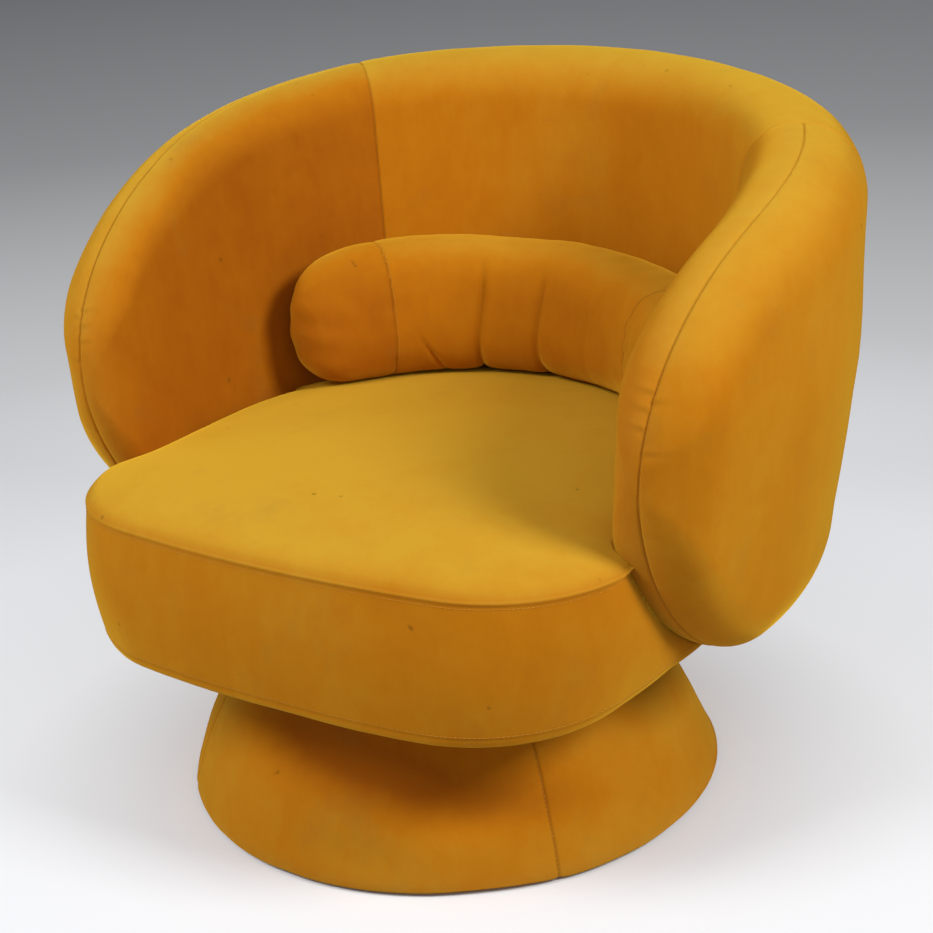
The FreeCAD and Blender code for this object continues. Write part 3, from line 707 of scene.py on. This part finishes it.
class CHAIR_OT_seat(bpy.types.Operator):
    """Makes the drum seat: crowned top, lapped seam with its stitches, band and turned hem"""
    bl_idname = "chair.seat"
    bl_label = "Seat"

    def execute(self, context):
        seat = sizes("seat")
        count = 320
        seam = np.array([seat.half_width, seat.front, seat.widest_y, seat.rear])
        hem = seam + np.array([-0.018, 0.009, -0.005, -0.017])
        height = seat.seam_height - seat.bottom
        levels = []
        # Underside, hem, band and crown, each level with its share, turn, rise or angle; close at the seams.
        for share in (0.25, 0.6, 0.9, 0.97):
            levels.append(("flat", share))
        for turn in np.radians([0, 18, 36, 54, 72, 90]):
            levels.append(("hem", turn))
        over_hem = np.array([0.009, 0.0105, 0.012, 0.0135, 0.015])
        under_seam = height - np.array([0.012, 0.009, 0.007, 0.0055, 0.0042, 0.0030, 0.0020, 0.0010])
        for rise in np.concatenate([over_hem, np.linspace(0.022, height - 0.016, 15), under_seam]):
            levels.append(("band", rise))
        rim_angles, pole_angles = [90, 89, 88, 87, 85.5, 84, 82, 79.5, 77], [10.5, 7.5, 5, 2.5]
        for angle in np.radians(np.concatenate([rim_angles, np.arange(74, 13, -4), pole_angles])):
            levels.append(("crown", angle))
        grid = np.zeros((len(levels), count, 3))
        for i, (kind, value) in enumerate(levels):
            if kind == "flat":
                plan = seat_outline(*hem, count, HEM_ROUND)
                plan = hem[2] * np.array([0, 1]) + (plan - np.array([0, hem[2]])) * value
                level = seat.bottom
            elif kind == "hem":
                plan = seat_outline(*hem, count, HEM_ROUND * (1 - math.sin(value)))
                level = seat.bottom + HEM_ROUND * (1 - math.cos(value))
            elif kind == "band":
                share = value / height
                mixed = hem + (seam - hem) * share
                plan = seat_outline(*mixed, count, -seat.bulge * math.sin(math.pi * share))
                level = seat.bottom + value
            else:
                plan = seat_outline(*seam, count)
                plan = np.array([0, seam[2]]) + (plan - np.array([0, seam[2]])) * math.sin(value)
                level = seat.seam_height + seat.crown * math.cos(value)
            grid[i, :, :2] = plan
            grid[i, :, 2] = level
        normals = outward_normals(grid, np.array([0.0, seat.widest_y, 0.26]))
        kinds = np.array([kind for kind, _ in levels])
        below = np.isin(kinds, ["band", "hem"])[:, None]
        # The top's edge is folded under and lapped over the band: a small ridge. The distance from the seam
        # counts down the band, and along the crown.
        distance = np.where(below, grid[..., 2] - seat.seam_height, 1.0)
        crown = kinds == "crown"
        steps = np.linalg.norm(np.diff(grid[crown, 0], axis=0), axis=1)
        distance[crown] = np.concatenate([[0.0], np.cumsum(steps)])[:, None]
        push = 0.0010 * bell(distance - 0.0004, 0.0021) - 0.0002 * bell(distance + 0.0030, 0.0013)
        push -= 0.0005 * bell(distance - 0.007, 0.004)
        # The hem is turned under: a roll at the lower edge and a line of sewing above it.
        above_hem = grid[..., 2] - seat.bottom
        hem_distance = np.where((kinds == "band")[:, None], above_hem - 0.0105, 1.0)
        push += 0.0005 * bell(above_hem - 0.0062, 0.0028) * below
        push -= 0.0007 * bell(hem_distance, 0.0013)
        push += below * 0.0009 * soft_waves(grid * [1, 1, 0.35], 0.10, 8) + 0.0013 * soft_waves(grid, 0.22, 9)
        push += below * 0.0007 * bell(above_hem - 0.03, 0.03) * soft_waves(grid * [1, 1, 0.1], 0.035, 10)
        # Beside the wall the cover is tucked down, so band and top fall away into the crease.
        wall = wall_grid(NOTCH_GAP)[0]
        wall_faces = tube_faces(*wall.shape[:2])
        tree = BVHTree.FromPolygons([tuple(v) for v in wall.reshape(-1, 3)], wall_faces)

        def off_wall(place):
            """Distance from the wall's skin, signed by the way its faces happen to point."""
            near, facing, _, away = tree.find_nearest(Vector(place))
            return math.copysign(away, (Vector(place) - near).dot(facing))

        # The middle of the seat lies outside the wall, so its sign is the one for outside.
        outward = math.copysign(1.0, off_wall((0.0, 0.0, 0.26)))
        gap = np.array([max(outward * off_wall(place), 0.0) for place in grid.reshape(-1, 3)])
        gap = gap.reshape(grid.shape[:2])
        tuck = np.where(crown, 0.006, 0.015)[:, None] * np.exp(-(gap / 0.013) ** 1.3)
        push -= tuck * (grid[..., 1] < 0.10) * np.clip((above_hem - 0.012) / 0.035, 0.0, 1.0)
        points = grid + normals * push[..., None]
        cushion = new_object("seat_cushion", points.reshape(-1, 3), tube_faces(len(levels), count))
        dark = np.maximum(0.22 * bell(distance + 0.0010, 0.0010), 0.18 * bell(hem_distance, 0.0012))
        set_attribute(cushion, "seam", dark)
        # A paler band on the crown beside the seam: partly wear, partly a painted highlight.
        set_attribute(cushion, "wear_and_painted_sheen", 0.10 * bell(distance - 0.003, 0.006))
        # Painted light on the upward faces, and a painted highlight on the seam's ridge.
        set_attribute(cushion, "painted_light_and_shade", 0.30 * painted_top_light(normals) + 0.12 * bell(distance - 0.0016, 0.0012))
        cut_away(cushion, new_object("notch", wall.reshape(-1, 3), wall_faces))
        cover(cushion, "seat", 0.9, "seat_top_cover", "seat_band_cover", "seat_foam")
        # Stitches run only where the seat shows, in front of the wall.
        paths = []
        for level in (seat.seam_height - SEAM_STITCH_DROP, seat.bottom + HEM_STITCH_RISE):
            row = int(np.argmin(np.abs(grid[:, 0, 2] - level) + 1.0 * (kinds != "band")))
            ring = (points + normals * 0.0003)[row]
            outside = np.array([outward * off_wall(place) > 0 for place in ring])
            shown = ring[outside & (ring[:, 1] < 0.05)]
            paths.append(shown[np.argsort(np.arctan2(shown[:, 0], -shown[:, 1]))])
        sew("seat_stitches", paths, "seat")
        return {"FINISHED"}


# Pillow

# Seams and sewn channels in degrees round the wall's centre, each channel with its depth.
PILLOW_SEAMS = (-54.0, 53.0)
PILLOW_CHANNELS = (-23.0, 1.0)
CHANNEL_DEPTHS = (0.0062, 0.0052)
# One more channel is hardly drawn in.
FAINT_CHANNEL, FAINT_DEPTH = 25.0, 0.0008
PILLOW_GAP = 0.0025
PILLOW_SHORT = math.radians(4.5)
# The skin starts a little small, is blown up for some frames, and no point of it may move more than the cap.
START_SHRINK, CLOTH_FRAMES, PULL_CAP = 0.004, 20, 0.008


def pillow_reach(side):
    """Half the angle that the pillow spans, on one side: the sitter's right end stops short of the other."""
    return sizes("pillow").half_angle - (PILLOW_SHORT if side < 0 else 0.0)


def pillow_point(angle, turn, shrink=0.0):
    """A point of the pillow's skin at an angle round the wall's centre and a turn round its section."""
    pillow, shell = sizes("pillow"), sizes("shell")
    share = min(abs(angle) / pillow_reach(angle), 1.0)
    closing = (1 - share ** 6.0) ** (1 / 2.4)
    # The ends are rounded off above and nearly square below, where the pillow stands on the seat.
    below = 0.5 - 0.5 * math.tanh(3.0 * math.sin(turn))
    squarer = (1 - share ** 18.0) ** (1 / 2.4)
    ending = closing + (squarer - closing) * below
    deep = (pillow.depth / 2 - shrink) * ending
    tall = (pillow.height / 2 - shrink) * ending
    # The section lies between an ellipse and a box.
    x, z = [math.copysign(abs(v) ** 0.79, v) for v in (math.cos(turn), math.sin(turn))]
    # It stands a little askew: higher at the sitter's right, and fuller in front at the middle.
    askew = 0.010 * max(min(angle / 1.1, 1.0), -1.0) * (0.5 + 0.5 * z)
    fuller = 0.012 * (0.5 - 0.5 * x) * math.exp(-((angle - 0.1) / 0.7) ** 2)
    height = pillow.top - pillow.height / 2 + tall * z - askew
    run = np.array(shell.rim_radius * angle)
    back = float(inner_face_radius(run, height)) - PILLOW_GAP
    radius = back - pillow.depth / 2 + deep * x - fuller
    return Vector((radius * math.sin(angle), shell.centre_y + radius * math.cos(angle), height))


class CHAIR_OT_pillow(bpy.types.Operator):
    """Makes the loose lumbar pillow: blown up by a cloth simulation between its sewn lines"""
    bl_idname = "chair.pillow"
    bl_label = "Lumbar pillow"

    def execute(self, context):
        rows, across = 121, 64
        vertices = []
        # The rings crowd towards the ends and stop just short of the poles.
        for i in range(rows):
            share = math.sin(math.pi / 2 * (2 * i / (rows - 1) - 1)) * 0.9995
            for j in range(across):
                turn = 2 * math.pi * j / across
                vertices.append(pillow_point(share * pillow_reach(share), turn, START_SHRINK))
        cushion = new_object("lumbar_pillow", vertices, tube_faces(rows, across))
        self.inflate(cushion)
        self.shape_seams(cushion)
        self.rest_on_seat(cushion)
        cover(cushion, "pillow", 0.75, "pillow_cover", "pillow_fill")
        tree = BVHTree.FromObject(cushion, bpy.context.evaluated_depsgraph_get())
        paths = []
        for degrees in PILLOW_SEAMS:
            path = []
            for k in range(121):
                guess = pillow_point(math.radians(degrees), 2 * math.pi * k / 120)
                near, normal, _, _ = tree.find_nearest(guess)
                path.append(near - normal * 0.0001)
            paths.append(path)
        sew("pillow_stitches", paths, "pillow")
        return {"FINISHED"}

    def inflate(self, cushion):
        """Lets pressure fill the pillow while its sewn lines hold, then keeps the result."""
        remesh = cushion.modifiers.new("Even mesh", "REMESH")
        remesh.mode = "VOXEL"
        remesh.voxel_size = 0.0055
        bake(cushion, remesh)
        held = cushion.vertex_groups.new(name="held")
        start = [v.co.copy() for v in cushion.data.vertices]
        centre_y = sizes("shell").centre_y
        lines = [math.radians(a) for a in PILLOW_SEAMS + PILLOW_CHANNELS]
        for v in cushion.data.vertices:
            angle = math.atan2(v.co.x, v.co.y - centre_y)
            radius = math.hypot(v.co.x, v.co.y - centre_y)
            weight = max(float(bell((angle - line) * radius, 0.006)) for line in lines)
            if weight > 0.3:
                held.add([v.index], min(weight, 1.0), "REPLACE")
        cloth = cushion.modifiers.new("Cloth", "CLOTH")
        cloth.settings.effector_weights.gravity = 0.0
        for key, value in (("use_pressure", True), ("uniform_pressure_force", 3.0), ("quality", 5),
                           ("vertex_group_mass", "held"), ("pin_stiffness", 1.0), ("tension_stiffness", 30.0),
                           ("compression_stiffness", 30.0), ("shear_stiffness", 15.0),
                           ("bending_stiffness", 12.0)):
            setattr(cloth.settings, key, value)
        scene = bpy.context.scene
        cloth.point_cache.frame_start, cloth.point_cache.frame_end = 1, CLOTH_FRAMES
        for number in range(1, CLOTH_FRAMES + 1):
            scene.frame_set(number)
        bake(cushion, cloth)
        scene.frame_set(1)
        for v, before in zip(cushion.data.vertices, start):
            move = v.co - before
            if move.length > PULL_CAP:
                v.co = before + move * (PULL_CAP / move.length)
        relaxed = cushion.modifiers.new("Relaxed", "SMOOTH")
        relaxed.factor = 0.5
        relaxed.iterations = 5
        bake(cushion, relaxed)
        smooth = cushion.modifiers.new("Finer", "SUBSURF")
        smooth.levels = smooth.render_levels = 1
        bake(cushion, smooth)

    def shape_seams(self, cushion):
        """Draws in the seams and channels and adds the gathers beside them."""
        mesh = cushion.data
        mesh.update()
        places = read_places(mesh)
        normals = np.zeros(places.size)
        mesh.vertex_normals.foreach_get("vector", normals)
        normals = normals.reshape(-1, 3)
        pillow, centre_y = sizes("pillow"), sizes("shell").centre_y
        angle = np.degrees(np.arctan2(places[:, 0], places[:, 1] - centre_y))
        radius = np.hypot(places[:, 0], places[:, 1] - centre_y)
        height = places[:, 2] - (pillow.top - pillow.height / 2)
        front = np.clip((0.235 - radius) / 0.04, 0.0, 1.0)
        push, seam = np.zeros(len(places)), np.zeros(len(places))
        for line in PILLOW_SEAMS:
            distance = np.radians(angle - line) * radius
            push -= 0.0011 * bell(distance, 0.0016) + 0.0006 * bell(distance, 0.009)
            gathers = np.sin(height / 0.0042 + 2.0 * np.sin(height / 0.031))
            gathers *= np.exp(-np.abs(distance) / 0.014)
            push += (0.0008 if line > 0 else 0.0003) * gathers
            seam = np.maximum(seam, bell(distance, 0.0011))
        # The channels waver a little, fade out above and are deeper in front than behind.
        for line, depth in zip(PILLOW_CHANNELS + (FAINT_CHANNEL,), CHANNEL_DEPTHS + (FAINT_DEPTH,)):
            distance = np.radians(angle - line) * radius - 0.004 * np.sin(height / 0.03)
            fade = np.clip((0.062 - height) / 0.03, 0.0, 1.0) * (0.35 + 0.65 * front)
            push -= depth * fade * (0.6 * bell(distance, 0.0038) + 0.4 * bell(distance, 0.014))
            # Painted shade darkens the channels' hollows, more where they are deeper.
            seam = np.maximum(seam, 60.0 * depth * fade * bell(distance, 0.003))
        # One slanting crease low on the front, and gathers at the sitter's right end.
        slant = (angle + 41.0) * 0.0038 + (height + 0.045) * 0.75
        crease = bell(slant, 0.0040) * bell(height + 0.048, 0.022) * bell(angle + 41.0, 9.0) * front
        push -= 0.0042 * crease
        ends = np.clip((np.abs(angle) - 66.0) / 14.0, 0.0, 1.0)
        push += 0.0008 * ends * np.sin(height / 0.0050 + angle / 9.0) * bell(height, 0.07)
        push += 0.0016 * soft_waves(places, 0.09, 12) + 0.0006 * soft_waves(places, 0.035, 13)
        places = places + normals * push[:, None]
        mesh.vertices.foreach_set("co", places.ravel())
        mesh.update()
        mesh.polygons.foreach_set("use_smooth", [True] * len(mesh.polygons))
        set_attribute(cushion, "seam", 0.5 * seam)
        # Painted light on the upward faces, and painted shade over the whole pillow, deeper at the sitter's
        # right end.
        set_attribute(cushion, "painted_light_and_shade", 0.22 * painted_top_light(normals) - 0.08 - 0.08 * (angle < PILLOW_SEAMS[0]))

    def rest_on_seat(self, cushion):
        """Keeps the pillow above the seat's crown and in front of the wall."""
        seat, shell = sizes("seat"), sizes("shell")
        mesh = cushion.data
        places = read_places(mesh)
        behind = places[:, 1] > seat.widest_y
        reach = np.where(behind, seat.rear - seat.widest_y, seat.front + seat.widest_y)
        across = np.hypot(places[:, 0] / seat.half_width, (places[:, 1] - seat.widest_y) / reach)
        crown = seat.seam_height + seat.crown * np.sqrt(np.clip(1 - across ** 2, 0.0, 1.0)) + 0.0012
        places[:, 2] = np.maximum(places[:, 2], crown)
        angle = np.arctan2(places[:, 0], places[:, 1] - shell.centre_y)
        radius = np.hypot(places[:, 0], places[:, 1] - shell.centre_y)
        most = inner_face_radius(shell.rim_radius * angle, places[:, 2]) - 0.0030
        held = np.minimum(radius, most) / radius
        places[:, 0] *= held
        places[:, 1] = shell.centre_y + (places[:, 1] - shell.centre_y) * held
        mesh.vertices.foreach_set("co", places.ravel())
        mesh.update()


# Base

# Where the base's seams stand, round the axis: left and right of the front panel, and behind.
BASE_SEAMS = (-136.0, -36.0, 90.0)
# How far the base's side leans from upright.
BASE_FLARE = math.radians(32.0)


class CHAIR_OT_base(bpy.types.Operator):
    """Makes the flared base: three velvet panels over padding, slackly dented in front"""
    bl_idname = "chair.base"
    bl_label = "Base"

    def execute(self, context):
        base = sizes("base")
        centre = base.widest - base.bulge_radius
        knee = base.widest_height + base.bulge_radius * math.sin(BASE_FLARE)

        def radius_at(height):
            """Radius of the base: round at the foot, then straight up to the seat."""
            if height <= knee:
                return centre + math.sqrt(base.bulge_radius ** 2 - (height - base.widest_height) ** 2)
            return centre + base.bulge_radius * math.cos(BASE_FLARE) - (height - knee) * math.tan(BASE_FLARE)

        def apart(turn, line):
            """The angle from a seam to a place, the short way round."""
            return math.remainder(turn - line, 2 * math.pi)

        seams = np.radians(BASE_SEAMS)
        near = np.radians([-1.6, -1.0, -0.6, -0.3, 0.0, 0.3, 0.6, 1.0, 1.6])
        turns = [turn for turn in np.radians(np.arange(-180.0, 180.0, 1.25))
                 if all(abs(apart(turn, line)) > math.radians(2.0) for line in seams)]
        for line in seams:
            turns += [math.remainder(line + step, 2 * math.pi) for step in near]
        turns = np.array(sorted(turns))
        rounding, top_rounding = 0.0035, 0.008
        edge, under = base.felt - 0.001, base.felt + 0.0005
        profile = [(0.20, under), (0.262, under), (radius_at(edge) - rounding, edge)]
        for turn in np.radians([25, 50, 72]):
            level = edge + rounding * (1 - math.cos(turn))
            profile.append((radius_at(level) - rounding * (1 - math.sin(turn)), level))
        for level in np.linspace(edge + rounding, base.top - top_rounding, 30):
            profile.append((radius_at(level), level))
        shoulder = radius_at(base.top - top_rounding)
        for turn in np.radians([25, 50, 75, 90]):
            profile.append((shoulder - top_rounding * (1 - math.cos(turn)) - 0.003 * math.sin(turn),
                            base.top - top_rounding * (1 - math.sin(turn))))
        profile += [(0.18, base.top), (0.165, base.top - 0.001)]
        grid = np.array([[(r * math.cos(t), r * math.sin(t), z) for t in turns] for r, z in profile])
        normals = outward_normals(grid, grid * [0, 0, 1])
        plan, height = np.hypot(grid[..., 0], grid[..., 1]), grid[..., 2]
        push, seam = np.zeros(plan.shape), np.zeros(plan.shape)
        for line in seams:
            distance = np.array([apart(turn, line) for turn in turns])[None, :] * plan
            push += seam_dip(distance, 0.0016)
            seam = np.maximum(seam, bell(distance, 0.0011))
        # Slack in the front panel: a long oblique hollow from upper left to lower right, and a fuller belly.
        degrees = (np.degrees(turns)[None, :] + 270.0) % 360.0 - 180.0
        front = bell(degrees - 12.0, 42.0)
        line_height = 0.124 - 0.00085 * (degrees + 6.0)
        push -= 0.0105 * front * bell(height - line_height, 0.022)
        push += 0.0030 * front * bell(height - line_height + 0.046, 0.024)
        # The cover is pulled in more under the seat at the sides, and sits a little to the sitter's right.
        aside = grid[..., 0] * 0.83 + grid[..., 1] * 0.55
        rise = np.clip(height / 0.07, 0.0, 1.0) ** 0.6
        push -= (0.003 + 0.009 * np.clip(np.abs(aside) / 0.25, 0.0, 1.0) ** 2) * rise
        push -= 0.0045 * aside / 0.27 * rise
        push += 0.0018 * soft_waves(grid, 0.16, 21) + 0.0008 * soft_waves(grid * [1, 1, 0.4], 0.05, 22)
        # The hardboard lining lies 16 mm inside the cover, and the underside stays flat on its felt.
        push = np.clip(push, -0.0148, 0.008)
        push[0:2] = 0.0
        points = grid + normals * push[..., None]
        # The lower edge flares out a little over the felt.
        points[..., :2] *= (1 + 0.0085 * bell(height, 0.028) * (plan > 0.255) / plan)[..., None]
        drum = new_object("base_upholstery", points.reshape(-1, 3), tube_faces(*grid.shape[:2]))
        set_attribute(drum, "seam", 0.5 * seam)
        # Paler just above the lower edge.
        set_attribute(drum, "wear_and_painted_sheen", 0.2 * bell(height - base.felt, 0.012))
        # The whole base is a shade lighter, and a painted shadow darkens the front panel along the hollow
        # under the seat's overhang.
        set_attribute(drum, "painted_light_and_shade", 0.05 - 0.42 * front * bell(height - line_height - 0.008, 0.030))
        cover(drum, "base", 0.7, "base_cover_front", "base_cover_left", "base_cover_right", "base_foam")
        # Stitches run up each seam, from the rounded lower edge to the rounded top.
        paths = []
        for line in seams:
            column = int(np.argmin(np.abs([apart(turn, line) for turn in turns])))
            paths.append((points + normals * 0.0002)[5:36, column])
        sew("base_stitches", paths, "base")
        return {"FINISHED"}


# Stage

# From the chair to the floor's edges.
FLOOR_REACH = 40.0
# The camera was fitted to the photograph: focal length in its pixels, what it looks at, and its right,
# upward and backward directions.
IMAGE_SIZE = 933.0
CAMERA_FOCUS = 1900.0
CAMERA_TARGET = (0.0233, 0.0154, 0.3254)
CAMERA_DISTANCE = 1.924
CAMERA_AXES = ((0.8326, 0.5509, -0.0567), (-0.1484, 0.3205, 0.9356), (0.5336, -0.7706, 0.3486))


class CHAIR_OT_stage(bpy.types.Operator):
    """Makes the plain floor, the soft studio light and the camera at the photographed angle"""
    bl_idname = "chair.stage"
    bl_label = "Stage"

    def execute(self, context):
        corners = [(x * FLOOR_REACH, y * FLOOR_REACH, 0) for x, y in ((-1, -1), (1, -1), (1, 1), (-1, 1))]
        floor = new_object("studio_floor", corners, [(0, 1, 2, 3)], False)
        material = bpy.data.materials.new("Painted studio floor")
        material.use_nodes = True
        tree = material.node_tree
        shader = tree.nodes["Principled BSDF"]
        for key, value in (("Base Color", linear("#B9B9BB")), ("Roughness", 0.9),
                           ("Specular IOR Level", 0.1)):
            shader.inputs[key].default_value = value
        # What the camera and reflections see is a paler floor that still takes the chair's shadow: it glows
        # with painted light, white round the chair and fading to grey far behind it.
        place = add_node(tree, "ShaderNodeTexCoord").outputs["Object"]
        away = add_node(tree, "ShaderNodeVectorMath", {"operation": "LENGTH"}, None, {"Vector": place})
        paint = tuple(sizes("colours").floor)
        fall = add_node(tree, "ShaderNodeMapRange", None, {"From Min": 0.8, "From Max": 9.0},
                        {"Value": away.outputs["Value"]})
        tone = add_node(tree, "ShaderNodeValToRGB", None, None, {"Fac": fall.outputs["Result"]},
                        [(0.0, paint), (0.10, linear("#BFBFC0")), (0.35, linear("#858586")),
                         (1.0, linear("#5A5A5B"))])
        pale = add_node(tree, "ShaderNodeBsdfDiffuse", None, {"Color": paint})
        glow = add_node(tree, "ShaderNodeEmission", None, None, {"Color": tone.outputs["Color"]})
        # Close to the base the floor has only its own light, so the shadow under the edge stays dark.
        clear = add_node(tree, "ShaderNodeMapRange", None,
                         {"From Min": 0.27, "From Max": 0.50, "To Max": 0.50},
                         {"Value": away.outputs["Value"]})
        seen = add_node(tree, "ShaderNodeMixShader", None, None,
                        {0: clear.outputs["Result"], 1: pale.outputs[0], 2: glow.outputs[0]})
        path = add_node(tree, "ShaderNodeLightPath")
        looked = path.outputs["Is Camera Ray"]
        for kind in ("Is Glossy Ray", "Is Transmission Ray"):
            either = add_node(tree, "ShaderNodeMath", {"operation": "MAXIMUM"}, None,
                              {0: looked, 1: path.outputs[kind]})
            looked = either.outputs[0]
        both = add_node(tree, "ShaderNodeMixShader", None, None,
                        {0: looked, 1: shader.outputs["BSDF"], 2: seen.outputs[0]})
        tree.links.new(both.outputs[0], tree.nodes["Material Output"].inputs["Surface"])
        give_material(floor, material)
        world = bpy.data.worlds.new("Studio")
        world.use_nodes = True
        sky = world.node_tree.nodes["Background"]
        sky.inputs["Color"].default_value = linear("#E6E8EC")
        sky.inputs["Strength"].default_value = 0.22
        context.scene.world = world
        # Each lamp: place, what it points at, edge length in metres, power in watts.
        lamps = (
            ("front", (-0.9, -2.0, 2.5), (0.0, -0.05, 0.30), 1.1, 47.0),
            ("right", (2.3, 0.0, 2.0), (0.0, 0.0, 0.37), 0.8, 53.0),
            ("left", (-2.6, -1.1, 1.4), (0.0, 0.0, 0.30), 1.6, 17.0),
            ("front_right", (1.6, -2.0, 2.1), (0.0, 0.0, 0.30), 1.8, 10.0),
        )
        for name, place, aim, edge, power in lamps:
            lamp = bpy.data.lights.new(name, "AREA")
            lamp.shape = "SQUARE"
            lamp.size = edge
            lamp.energy = power
            holder = bpy.data.objects.new(name, lamp)
            holder.location = place
            holder.rotation_euler = (Vector(aim) - Vector(place)).to_track_quat("-Z", "Y").to_euler()
            context.scene.collection.objects.link(holder)
        camera = bpy.data.cameras.new("camera")
        camera.sensor_width = 36.0
        camera.lens = CAMERA_FOCUS * camera.sensor_width / IMAGE_SIZE
        camera.dof.use_dof = False
        camera.clip_end = 200.0
        holder = bpy.data.objects.new("camera", camera)
        holder.rotation_mode = "QUATERNION"
        holder.rotation_quaternion = Matrix(CAMERA_AXES).transposed().to_quaternion()
        holder.location = Vector(CAMERA_TARGET) + Vector(CAMERA_AXES[2]) * CAMERA_DISTANCE
        context.scene.collection.objects.link(holder)
        context.scene.camera = holder
        context.scene.view_settings.view_transform = "Standard"
        return {"FINISHED"}


class CHAIR_PT_panel(bpy.types.Panel):
    """The chair's pieces and sizes in the 3D view's sidebar"""
    bl_idname = "CHAIR_PT_panel"
    bl_label = "Upholstered Swivel Chair"
    bl_space_type = "VIEW_3D"
    bl_region_type = "UI"
    bl_category = "Chair"

    def draw(self, context):
        for name, _ in GROUPS:
            box = self.layout.box()
            group = getattr(context.scene, "chair_" + name)
            for key in group.__annotations__:
                box.prop(group, key)
        for operator in OPERATORS:
            self.layout.operator(operator.bl_idname)


GROUPS = (("shell", ChairShellSizes), ("seat", ChairSeatSizes), ("pillow", ChairPillowSizes),
          ("base", ChairBaseSizes), ("stitches", ChairStitchSizes), ("colours", ChairColours))
OPERATORS = (CHAIR_OT_finishes, CHAIR_OT_shell, CHAIR_OT_seat, CHAIR_OT_pillow, CHAIR_OT_base, CHAIR_OT_stage)


def register():
    for name, group in GROUPS:
        bpy.utils.register_class(group)
        setattr(bpy.types.Scene, "chair_" + name, bpy.props.PointerProperty(type=group))
    for kind in OPERATORS + (CHAIR_PT_panel,):
        bpy.utils.register_class(kind)


def unregister():
    for kind in (CHAIR_PT_panel,) + OPERATORS[::-1]:
        bpy.utils.unregister_class(kind)
    for name, group in GROUPS[::-1]:
        delattr(bpy.types.Scene, "chair_" + name)
        bpy.utils.unregister_class(group)


def main():
    register()
    bpy.ops.chair.finishes()
    bpy.ops.chair.shell()
    bpy.ops.chair.seat()
    bpy.ops.chair.pillow()
    bpy.ops.chair.base()
    bpy.ops.chair.stage()


if __name__ == "__main__":
    main()
